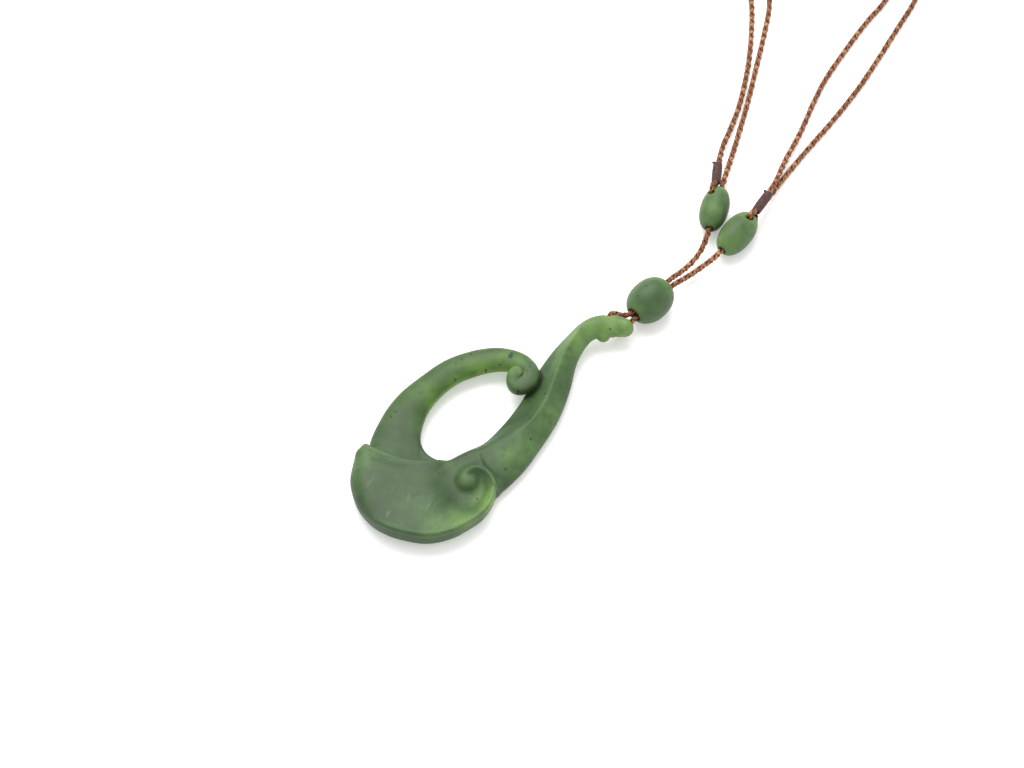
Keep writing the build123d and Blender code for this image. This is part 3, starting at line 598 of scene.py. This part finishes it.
def arm(x, y, table):
    """Depth, top, underside and side of the arm or its curl, a domed band, thick in the bay and the curl."""
    depth, side, (rise, thick) = band(x, y, table)
    low, full = rise * ARM_LIFT, thick * ARM_THICK
    edge = 0.60 + 0.30 * smooth_step(0.36, 0.26, y / LENGTH) * smooth_step(-0.2, 0.6, side)
    edge = edge + 0.24 * smooth_step(1.75, 2.10, rise)
    return depth, low + full * (edge + (1 - edge) * (1 - side**2) ** 0.7), low + 0.30 * full * side**2, side


def bowl(x, y):
    """Depth and top of the bowl, hollowed round the bulb."""
    u, v = x / WIDTH, y / LENGTH
    depth = outline_depth(x, y, BOWL)
    bx, by = KORU[-1][0] * WIDTH, KORU[-1][1] * LENGTH
    off = np.clip(np.hypot(x - bx, y - by) - BULB_RADIUS, 0, None)
    lean = smooth_step(-0.075, 0.075, (x - bx) / WIDTH)
    dish = DISH_DEPTH * np.exp(-((off / (DISH_REACH + DISH_LEAN * lean)) ** 2))
    guard = np.maximum(smooth_step(0.0, 0.1, depth / WIDTH), smooth_step(0.26, 0.14, u))
    fall = TOP_FALL * smooth_step(0.25, 0.35, v) * smooth_step(0.26, 0.10, u)
    inner = smooth_step(-0.004, -0.050, v - 0.173 - 0.266 * (u + 0.31))
    soft = smooth_step(0.16, -0.22, u) * np.maximum(inner, smooth_step(-0.36, -0.40, u))
    edge = np.clip(1 - depth / ROLL_REACH, 0, 1)
    roll = ROLL_DROP * soft * (1 - np.sqrt(1 - edge**2))
    return depth, BOWL_THICK * (0.88 + 0.12 * smooth_step(0.28, 0.05, v)) - fall - dish * guard - roll


print("the bowl's middle is", bowl(*spot)[1][0].round(1), "mm high")

# %% How deep a point lies in the stone


def stone_field(x, y, z):
    """Positive inside the stone: the union of bowl, shank, arm and curls above the flat back."""
    def between(top, bottom):
        return soft_min(top[..., None] - z, z - bottom[..., None], EDGE_EASE)

    depth, top = bowl(x, y)
    wall = depth[..., None] - UNDERCUT * np.clip(1 - z / UNDERCUT_HEIGHT, 0, None) ** 2
    body = soft_min(wall, top[..., None] - z, RIM_EASE)
    depth, side, _ = band(x, y, KORU)
    koru_top = 0.90 * BOWL_THICK - KORU_DROP * side**2
    body = soft_max(body, soft_min(depth[..., None], koru_top[..., None] - z, KORU_EASE), KORU_BLEND)
    depth, top, bottom = shank(x, y)
    piece = soft_min(soft_max(depth[..., None], wall, SHANK_BLEND), between(top, bottom), EDGE_EASE)
    body = soft_max(piece, body, BOWL_BLEND)
    depth, top, bottom, side = arm(x, y, ARM)
    blend = NOTCH_BLEND + (BAY_BLEND - NOTCH_BLEND) * smooth_step(-0.2, 0.5, side)
    piece = soft_min(soft_max(depth[..., None], wall, blend[..., None]), between(top, bottom), EDGE_EASE)
    body = np.maximum(body, piece)
    depth, top, bottom, side = arm(x, y, CURL)
    body = np.maximum(body, soft_min(depth[..., None], between(top, bottom), EDGE_EASE))
    off = np.hypot(x - KNOB_PLACE[0] * WIDTH, y - KNOB_PLACE[1] * LENGTH)
    body = soft_max(body, KNOB_RADIUS - np.hypot(off[..., None], z - KNOB_HEIGHT), KNOB_BLEND)
    return np.minimum(body, z)


print("2 mm up in the bowl's middle lies", stone_field(*spot, np.array([2.0]))[0, 0].round(1), "mm deep")

# %% The bore through the head


def turned(x, y):
    """From the stone's own axes to the table's, by the turn of the whole stone."""
    return x * cos(TURN) - y * sin(TURN), x * sin(TURN) + y * cos(TURN)


head_bore = np.array(turned(HEAD_EYE[0] * WIDTH, HEAD_EYE[1] * LENGTH))
stone_shift = head_bore - ANCHOR[:2]
print("the stone moves by", (-stone_shift).round(2), "mm once it is turned")


def bore_gap(x, y, z):
    """Distance outside the head's sloping bore."""
    tx, ty = turned(x, y)
    across, onward = (tx - head_bore[0])[..., None], (ty - head_bore[1])[..., None]
    rise = onward * sin(radians(BORE_SLOPE)) - (z - BORE_HEIGHT) * cos(radians(BORE_SLOPE))
    return np.hypot(across, rise) - CORD_DIAMETER / 2 - BORE_PLAY


def bored_stone(x, y, z):
    """The stone less its bore, the bore's mouths rounded a little."""
    return soft_min(stone_field(x, y, z), bore_gap(x, y, z), 0.35)


# %% [markdown]
# A formula isn't a surface yet. Marching over a grid of cells, every cell that the surface crosses gets one
# corner and every grid edge that it crosses one quad; this is called surface nets. The corners are then
# moved down the formula's own slope until they lie on the surface exactly, which removes the steps of the
# grid from the polish.

# %% From a field to a surface


def surface_nets(field, xs, ys, zs):
    """One corner in each cell that the surface crosses, and one quad round each grid edge that it crosses."""
    inside = field > 0
    shape = np.array(field.shape)
    corners = [np.array((i, j, k)) for i in (0, 1) for j in (0, 1) for k in (0, 1)]
    crop = lambda c: tuple(slice(o, n - 1 + o) for o, n in zip(c, shape))
    count = sum(inside[crop(c)].astype(np.int8) for c in corners)
    mixed = (count > 0) & (count < 8)
    index = np.full(mixed.shape, -1)
    index[mixed] = np.arange(mixed.sum())
    cells = np.argwhere(mixed)
    place = lambda c: np.stack([xs[cells[:, 0] + c[0]], ys[cells[:, 1] + c[1]], zs[cells[:, 2] + c[2]]], 1)
    total, hits = np.zeros((len(cells), 3)), np.zeros(len(cells))
    for a in corners:
        for b in corners:
            if (b - a).min() < 0 or (b - a).sum() != 1:
                continue
            fa, fb = field[tuple((cells + a).T)], field[tuple((cells + b).T)]
            cross = (fa > 0) != (fb > 0)
            share = np.where(cross, fa / np.where(cross, fa - fb, 1), 0)[:, None]
            total += cross[:, None] * (place(a) + (place(b) - place(a)) * share)
            hits += cross
    quads = []
    for axis in range(3):
        near = [slice(1, n - 1) for n in shape]
        near[axis] = slice(0, shape[axis] - 1)
        far = list(near)
        far[axis] = slice(1, shape[axis])
        first, second = inside[tuple(near)], inside[tuple(far)]
        u, v = (axis + 1) % 3, (axis + 2) % 3
        for edges, ring in ((first & ~second, (3, 1, 0, 2)), (~first & second, (2, 0, 1, 3))):
            at = np.argwhere(edges) + [s.start for s in near]
            steps = np.zeros((4, 3), int)
            steps[[2, 3], u] = 1
            steps[[1, 3], v] = 1
            quads.append(np.stack([index[tuple((at - steps[k]).T)] for k in ring], 1))
    return total / hits[:, None], np.vstack(quads)


# %% Settle the corners on the surface


def settled(points, field, passes, reach, step=0.02):
    """Each point moved by -f g / |g|^2, with f the field and g its slope, no further than reach a pass."""
    at = lambda p: field(p[:, 0], p[:, 1], p[:, 2:])[:, 0]
    for _ in range(passes):
        f = at(points)
        g = np.stack([(at(points + step * e) - at(points - step * e)) / (2 * step) for e in np.eye(3)], 1)
        move = -f[:, None] * g / np.maximum((g**2).sum(1), 0.05)[:, None]
        size = np.linalg.norm(move, axis=1)[:, None]
        points = points + move * np.minimum(1, reach / np.maximum(size, 1e-9))
    return points


# %% Carve the stone
CELL = 0.30
xs = np.arange(-0.55 * WIDTH, 0.55 * WIDTH + CELL, CELL)
ys = np.arange(-0.03 * LENGTH, 1.02 * LENGTH + CELL, CELL)
zs = np.arange(-CELL / 2, HEAD_LIFT + SHANK_THICK + 2 * CELL, CELL)
grid = np.meshgrid(xs, ys, indexing="ij")
own, stone_quads = surface_nets(bored_stone(*grid, zs), xs, ys, zs)
own = settled(own, bored_stone, 2, CELL / 2)
own[:, 2] = np.maximum(own[:, 2], 0)
print("corners on the stone:", len(own))

# %% [markdown]
# A finish can't see the form it lies on, but jade's colour follows it, so light and shade that follow the
# form are painted into the colour. Grooves get painted shade, because little light reaches them. Thin edges
# get painted light, because light comes through them. Both could be painted by hand. The formula already
# knows
# them: a step out of a groove is soon in stone again, and a step into a thin edge is soon out of it. So each
# corner keeps a few such numbers, which the finish reads by name.

# %% How tucked in or thin each place is
SLOPE_STEP, CREASE_STEPS, THIN_STEP = 0.05, (0.45, 0.9), 1.6


def surroundings(points, field):
    """The unit slope n out of the stone, the crease 1 + f(p + n a) / a for the larger of two steps a, and
    the thinness 1 - f(p - n b) / b, where f is the field. Crease and thinness are 0 on open, thick ground and
    near 1 in a narrow groove or at a thin edge."""
    at = lambda p: field(p[:, 0], p[:, 1], p[:, 2:])[:, 0]
    steps = SLOPE_STEP * np.eye(3)
    normal = unit(np.stack([at(points - e) - at(points + e) for e in steps], 1))
    crease = np.maximum(*(1 + at(points + a * normal) / a for a in CREASE_STEPS))
    thin = 1 - at(points - THIN_STEP * normal) / THIN_STEP
    return normal, {"crease": np.clip(crease, 0, 1), "thin": np.clip(thin, 0, 1)}


normal, values = surroundings(own, bored_stone)
print("corners in a groove:", (values["crease"] > 0.5).sum(), "at a thin edge:", (values["thin"] > 0.5).sum())

# %% Painted light and shade on the stone, and the carved hook
PAINTED_GLOW = [
    # across, along, reach, share of painted light as if through the stone (below 0, painted shade)
    (-0.360, 0.430, 0.13, 0.30), (-0.330, 0.540, 0.12, 0.30), (-0.250, 0.600, 0.12, 0.28),
    (-0.120, 0.650, 0.12, 0.45), (-0.205, 0.572, 0.07, 0.50), (-0.285, 0.500, 0.07, 0.50),
    (-0.315, 0.410, 0.07, 0.50), (-0.270, 0.330, 0.07, 0.25), (0.120, 0.915, 0.16, 0.90),
    (0.270, 0.957, 0.09, 1.60), (0.215, 0.930, 0.04, -0.10), (0.060, 0.850, 0.16, 0.75),
    (0.140, 0.760, 0.14, 0.45), (0.290, 0.610, 0.13, 0.62), (0.350, 0.500, 0.12, 0.42),
    (0.330, 0.415, 0.10, 0.45), (0.420, 0.270, 0.11, 1.10), (0.420, 0.170, 0.10, 1.10),
    (0.340, 0.110, 0.09, 0.65), (0.200, 0.100, 0.10, 0.25), (0.257, 0.281, 0.05, 0.40),
    (-0.300, 0.110, 0.10, 0.50), (-0.360, 0.150, 0.08, 0.30), (-0.200, 0.060, 0.08, 0.30),
]
u, v = own[:, 0] / WIDTH, own[:, 1] / LENGTH
gap = lambda a, b: (u - a) ** 2 + ((v - b) * LENGTH / WIDTH) ** 2
values["painted_glow"] = sum(share * np.exp(-gap(a, b) / reach**2) for a, b, reach, share in PAINTED_GLOW)
values["bowl"] = smooth_step(0.27, 0.19, v)
values["arm"] = smooth_step(0.05, -0.15, u) * smooth_step(0.25, 0.40, v)
# Painted shade on faces that turn sideways or down; on the arm it becomes painted light
values["wall"] = smooth_step(0.75, 0.15, normal[:, 2]) * (1 - 2.6 * values["arm"])
values["thin"] *= 1 - smooth_step(0.62, 0.45, v) * smooth_step(0.30, 0.36, v) * smooth_step(0.0, 0.1, u)
tx, ty = turned(own[:, 0], own[:, 1])
stone_points = np.column_stack([tx - stone_shift[0], ty - stone_shift[1], own[:, 2]])
hook = mesh_object("carved_hook", stone_points, stone_quads, np.empty((0, 3), int), values)

# %% [markdown]
# The three beads are turned from the same stone: ellipsoids with a bore along them, and a cross hole for
# the eye near one end of each side bead. Spheres with holes cut by a Boolean leave sharp mouths, so the
# same kind of formula is used, whose soft joins round each mouth as polishing does.

# %% Fields of the beads


def ellipsoid_depth(x, y, z, length, diameter):
    """About the depth in a full ellipsoid, whose section is the curve |x|^n + r^n = 1, n a little over 2."""
    n = FULLNESS
    r = np.hypot(2 * y / diameter, 2 * z / diameter)
    return (1 - (np.abs(2 * x / length) ** n + r**n) ** (1 / n)) * diameter / 2


def toggle_field(x, y, z):
    """The toggle: an ellipsoid less a bore for two strands."""
    x, y = x[..., None], y[..., None]
    body = ellipsoid_depth(x, y, z, TOGGLE_LENGTH, TOGGLE_DIAMETER)
    bore = np.hypot(y, z) - CORD_DIAMETER - STRAND_GAP / 2 - BORE_PLAY
    return soft_min(body, bore, 0.6)


def side_field(length, diameter, at, sign):
    """A side bead: an ellipsoid less a bore off its middle and a cross hole for the eye."""
    def field(x, y, z):
        x, y = x[..., None], y[..., None]
        body = ellipsoid_depth(x, y, z, length, diameter)
        bore = np.hypot(y + sign * BORE_OFFSET, z) - CORD_DIAMETER / 2 - BORE_PLAY
        hole = np.hypot(x - at, y - sign * EYE_OFFSET) - EYE_DIAMETER / 2 - EYE_PLAY
        return soft_min(soft_min(body, bore, 0.5), hole + 0 * z, 0.35)
    return field


# %% The beads


def bead(name, field, length, diameter, place, axes, painted_glow, cell=0.17):
    """Surface nets over the bead's own axes, settled on the field, then carried to its place."""
    a = np.arange(-length / 2 - cell, length / 2 + 2 * cell, cell)
    b = np.arange(-diameter / 2 - cell, diameter / 2 + 2 * cell, cell)
    points, quads = surface_nets(field(*np.meshgrid(a, b, indexing="ij"), b), a, b, b)
    points = settled(points, field, 2, cell / 2)
    normal, values = surroundings(points, field)
    # Painted light as if through the bead, and painted shade on its faces that turn down
    values["painted_glow"] = np.full(len(points), painted_glow)
    values["wall"] = smooth_step(0.75, -0.1, (normal @ axes)[:, 2])
    return mesh_object(name, place + points @ axes, quads, np.empty((0, 3), int), values)


# Each bead's last number is how much painted light it gets
toggle = bead("jade_toggle", toggle_field, TOGGLE_LENGTH, TOGGLE_DIAMETER, toggle_middle, toggle_axes, 0.40)
left_field = side_field(LEFT_LENGTH, LEFT_DIAMETER, LEFT_HOLE, LEFT_SIGN)
bead_left = bead("jade_bead_left", left_field, LEFT_LENGTH, LEFT_DIAMETER, left_middle, left_axes, 0.22)
right_field = side_field(RIGHT_LENGTH, RIGHT_DIAMETER, RIGHT_HOLE, RIGHT_SIGN)
bead_right = bead(
    "jade_bead_right", right_field, RIGHT_LENGTH, RIGHT_DIAMETER, right_middle, right_axes, 0.65,
)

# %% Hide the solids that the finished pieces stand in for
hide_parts("hook_pendant")
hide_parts("toggle_bead")
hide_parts("side_bead_left")
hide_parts("side_bead_right")
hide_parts("cord_left")
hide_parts("cord_right")
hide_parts("eye_left")
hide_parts("eye_right")
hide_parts("whipping_left")
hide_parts("whipping_right")
print(len(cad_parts), "solids have their finished pieces")

# %% [markdown]
# Finishes are built from Blender's shader nodes. A long chain of nodes is hard to read when it is wired by
# hand, so one small class stands for a socket, and sums and products of it are written as in any formula.

# %% A socket that can be calculated with


class Shade:
    """A socket of a material. Arithmetic with numbers or other shades adds Math nodes to the material."""

    def __init__(self, tree, socket=None):
        self.tree, self.socket = tree, socket

    def node(self, kind, values=(), settings=(), out=0):
        """A node of a kind: first its settings, then a value or link for each named or numbered socket."""
        made = self.tree.nodes.new(kind)
        for key, value in dict(settings).items():
            if key == "stops":
                for number, (place, colour) in enumerate(value):
                    stop = made.color_ramp.elements
                    stop = stop[number] if number < 2 else stop.new(place)
                    stop.position, stop.color = place, (*colour, 1)
            else:
                setattr(made, key, value)
        for key, value in dict(values).items():
            if isinstance(value, Shade):
                self.tree.links.new(value.socket, made.inputs[key])
            else:
                made.inputs[key].default_value = value
        return Shade(self.tree, made.outputs[out])

    def math(self, operation, *values, clamp=False):
        """One Math node on the values."""
        settings = {"operation": operation, "use_clamp": clamp}
        return self.node("ShaderNodeMath", dict(enumerate(values)), settings)

    def __add__(self, other): return self.math("ADD", self, other)
    def __radd__(self, other): return self.math("ADD", other, self)
    def __sub__(self, other): return self.math("SUBTRACT", self, other)
    def __rsub__(self, other): return self.math("SUBTRACT", other, self)
    def __mul__(self, other): return self.math("MULTIPLY", self, other)
    def __rmul__(self, other): return self.math("MULTIPLY", other, self)

    def clamped(self):
        """Held between 0 and 1."""
        return self.math("ADD", self, 0.0, clamp=True)

    def between(self, low, high):
        """0 below low, 1 above high, smooth between."""
        settings = {"interpolation_type": "SMOOTHSTEP"}
        return self.node("ShaderNodeMapRange", {"Value": self, "From Min": low, "From Max": high}, settings)

    def mixed(self, first, second, blend="MIX"):
        """The first colour where this is 0 and the second where it is 1."""
        settings = {"data_type": "RGBA", "blend_type": blend, "clamp_factor": True}
        values = {0: self, 6: colour(first), 7: colour(second)}
        return self.node("ShaderNodeMix", values, settings, out=2)


# %% Materials, noise, named values and bumps


def colour(value):
    """Three numbers as the four that a colour socket takes; a shade stays as it is."""
    return value if isinstance(value, Shade) else (*value, 1.0)


def material(name, **constants):
    """A Principled finish with constant socket values, its object coordinates and a way to feed it."""
    made = bpy.data.materials.new(name)
    made.use_nodes = True
    surface = made.node_tree.nodes["Principled BSDF"]
    for key, value in constants.items():
        surface.inputs[key.replace("_", " ")].default_value = value
    start = Shade(made.node_tree)
    place = start.node("ShaderNodeTexCoord", out=3)
    feed = lambda key, shade: made.node_tree.links.new(shade.socket, surface.inputs[key])
    return made, start, place, feed


def noise(place, scale, detail, roughness=0.5):
    """Cloudy noise over a place, this many cells a metre."""
    values = {"Vector": place, "Scale": scale, "Detail": detail, "Roughness": roughness}
    return place.node("ShaderNodeTexNoise", values, {"noise_dimensions": "3D"})


def named(start, name):
    """A named value of the mesh, as a shade."""
    return start.node("ShaderNodeAttribute", settings={"attribute_name": name}, out=2)


def bumped(start, height, distance, strength):
    """The surface's direction, tilted by a height."""
    return start.node("ShaderNodeBump", {"Height": height, "Distance": distance, "Strength": strength})


# %% [markdown]
# Jade is cloudy green stone with a satin skin. Light comes through where it is thin, so the arm and the head
# are painted a yellower and lighter green than the thick bowl: painted light. Walls that face sideways or
# down get painted shade. Dark grains and pale threads lie in it. A picture of stone could be wrapped round,
# but here each of these is a formula over the place in the stone.

# %% Light and dark in the jade: cloudy tone with painted light and painted shade
DEEP, MIDDLE, BRIGHT = (0.024, 0.050, 0.016), (0.052, 0.104, 0.034), (0.122, 0.222, 0.056)
SMOKE, GRAIN = (0.022, 0.040, 0.018), (0.004, 0.008, 0.004)
PALE, PAINTED_CREASE_SHADE = (0.110, 0.150, 0.085), (0.012, 0.022, 0.009)
jade, start_shade, place, feed = material(
    "jade", IOR=1.6, Specular_IOR_Level=0.25, Subsurface_Weight=0.35, Subsurface_Scale=0.0025,
)
painted_glow, crease, thin, wall, arm_share, bowl_share = (
    named(start_shade, name) for name in ("painted_glow", "crease", "thin", "wall", "arm", "bowl")
)
cloud, mottle, fine = noise(place, 75, 4), noise(place, 300, 4), noise(place, 1600, 3)
# Cloudy tone of the stone, with painted light where it glows through and at thin edges, and painted shade on
# walls
light = 0.24 + painted_glow * 0.62 + (cloud - 0.5) * 1.1 + (mottle - 0.5) * 0.35
light = (light + thin * 0.30 - wall * 0.22).clamped()
green = light.node("ShaderNodeValToRGB", {"Fac": light}, {"stops": [(0, DEEP), (1, BRIGHT), (0.45, MIDDLE)]})
# The arm tinted yellower: painted light as if through the thin stone
green = (arm_share * 0.8).mixed(green, (0.90, 1.0, 0.55), "MULTIPLY")
smoke = noise(place, 170, 5, 0.6).between(0.54, 0.70) * 0.40
green = smoke.mixed(green, SMOKE)
print("nodes for the clouds:", len(jade.node_tree.nodes))

# %% Dark grains: small ones everywhere but in the bowl, and the largest at their own places
GRAINS = [
    # across, along, radius in millimetres
    (-0.151, 0.661, 0.80), (-0.160, 0.670, 0.50), (-0.372, 0.539, 0.32), (-0.367, 0.562, 0.30),
    (-0.353, 0.593, 0.36), (-0.302, 0.503, 0.28), (-0.214, 0.588, 0.26), (-0.170, 0.624, 0.28),
    (-0.132, 0.615, 0.30), (-0.000, 0.667, 0.28), (0.010, 0.653, 0.26), (0.061, 0.587, 0.34),
    (0.189, 0.637, 0.28),
]
cells = {"Vector": place, "Scale": 330.0}
near, lot = (place.node("ShaderNodeTexVoronoi", cells, out=k) for k in (0, 1))
lot = lot.node("ShaderNodeSeparateColor", {"Color": lot})
grains = (1 - near.between(0.05, 0.13)) * lot.between(0.50, 0.60) * (1 - bowl_share * 0.8)
flat = place.node("ShaderNodeVectorMath", {0: place, 1: (1, 1, 0)}, {"operation": "MULTIPLY"})
for a, b, radius in GRAINS:
    gx, gy = turned(a * WIDTH, b * LENGTH)
    spot = ((gx - stone_shift[0]) * MM, (gy - stone_shift[1]) * MM, 0)
    gap = flat.node("ShaderNodeVectorMath", {0: flat, 1: spot}, {"operation": "DISTANCE"}, out=1)
    grains = grains.math("MAXIMUM", grains, 1 - gap.between(0.5 * radius * MM, 1.1 * radius * MM))
green = (grains * 0.95).mixed(green, GRAIN)
print("grains at their own places:", len(GRAINS))

# %% Pale streaks in the bowl, painted shade in grooves and a satin skin
turning = {"Vector": flat, "Angle": radians(-64)}
along = flat.node("ShaderNodeVectorRotate", turning, {"rotation_type": "Z_AXIS"})
along = along.node("ShaderNodeVectorMath", {0: along, 1: (150, 900, 1)}, {"operation": "MULTIPLY"})
streaks = noise(along, 1.0, 2, 0.6).between(0.60, 0.68) * bowl_share
streaks = streaks * noise(place, 140, 1).between(0.46, 0.60)
green = (streaks * 0.55).mixed(green, PALE)
# Painted shade, a near black green, in grooves and creases
green = (crease.between(0.20, 0.75) * 0.72).mixed(green, PAINTED_CREASE_SHADE)
feed("Base Color", (fine * 0.5).mixed(green, (1.25, 1.25, 1.25), "MULTIPLY"))
feed("Roughness", 0.40 + mottle * 0.16)
feed("Normal", bumped(start_shade, fine, 0.00003, 0.35))
for piece in (hook, toggle, bead_left, bead_right):
    piece.data.materials.append(jade)
print("nodes of the jade:", len(jade.node_tree.nodes))

# %% [markdown]
# The cord is waxed: each lobe of the plait gets a patchy painted highlight, and the creases between get
# painted shade that is nearly black. Finer still, every strand is a bundle of fibres. The thread is darker
# and duller, with painted shade between its turns.

# %% Waxed braid
braid, start_shade, place, feed = material("waxed braid", Roughness=0.5, Specular_IOR_Level=0.35)
reach = named(start_shade, "reach")
lobes, fibres = noise(place, 620, 2), noise(place, 3600, 3, 0.7)
# Painted shade, near black, in the creases between the strands
brown = reach.between(0.52, 0.88).mixed((0.022, 0.006, 0.003), (0.150, 0.052, 0.019))
# Painted highlight: tan patches on the lobe tops
brown = (reach.between(0.84, 1.0) * lobes.between(0.42, 0.60) * 0.85).mixed(brown, (0.40, 0.205, 0.10))
feed("Base Color", fibres.between(0.25, 0.75).mixed(brown, (1.5, 1.4, 1.3), "MULTIPLY"))
feed("Normal", bumped(start_shade, fibres, 0.00012, 0.6))
for piece in (cord_left, cord_right, eye_left, eye_right):
    piece.data.materials.append(braid)
print("nodes of the braid:", len(braid.node_tree.nodes))

# %% Seizing thread
twine, start_shade, place, feed = material("seizing thread", Roughness=0.6, Specular_IOR_Level=0.3)
fuzz = noise(place, 2400, 3, 0.7)
ridge = named(start_shade, "reach").between(-0.2, 0.9)
brown = fuzz.between(0.3, 0.7).mixed((0.060, 0.027, 0.025), (0.150, 0.080, 0.072))
# Painted shade on the thread's inner side, between its turns
feed("Base Color", ridge.mixed((0.004, 0.002, 0.002), brown))
feed("Normal", bumped(start_shade, fuzz, 0.0001, 0.6))
for piece in (whipping_left, whipping_right):
    piece.data.materials.append(twine)
print("nodes of the thread:", len(twine.node_tree.nodes))

# %% [markdown]
# The photograph was taken on white card under a large soft light. The floor is a wide pale plane, and one
# big lamp above and behind gives the broad highlight. White card throws light back up from all round, which
# keeps its shadows faint. A plane this plain can do that by glowing a little itself.

# %% The card
floor_mesh = bpy.data.meshes.new("floor")
floor_mesh.from_pydata([(-3, -3, 0), (3, -3, 0), (3, 3, 0), (-3, 3, 0)], [], [(0, 1, 2, 3)])
floor = bpy.data.objects.new("floor", floor_mesh)
floor.location.z = -0.0001
bpy.context.scene.collection.objects.link(floor)
card, start_shade, place, feed = material(
    "white card", Roughness=0.9, Emission_Color=(1, 1, 0.985, 1), Emission_Strength=0.24,
)
feed("Base Color", noise(place, 3, 2).mixed((0.90, 0.90, 0.90), (0.93, 0.93, 0.93)))
floor.data.materials.append(card)
print("nodes of the card:", len(card.node_tree.nodes))

# %% Lamp and sky


def softbox(name, place, size, power):
    """A square area lamp that looks at the stone from its place, in metres."""
    lamp = bpy.data.lights.new(name, "AREA")
    lamp.shape, lamp.size, lamp.energy = "SQUARE", size, power
    light = bpy.data.objects.new(name, lamp)
    back = unit(np.array(place))
    turn = (np.arccos(back[2]), 0, np.arctan2(back[1], back[0]) + pi / 2)
    light.location, light.rotation_euler = place, turn
    bpy.context.scene.collection.objects.link(light)


softbox("lamp above", (-0.15, 0.70, 1.2), size=1.2, power=20)
world = bpy.data.worlds.new("studio")
world.use_nodes = True
sky = world.node_tree.nodes["Background"]
sky.inputs["Color"].default_value, sky.inputs["Strength"].default_value = (1, 1, 1, 1), 0.90
bpy.context.scene.world = world
bpy.context.scene.view_settings.view_transform = "Standard"
print("lights:", [light.name for light in bpy.data.lights], "and", world.name)
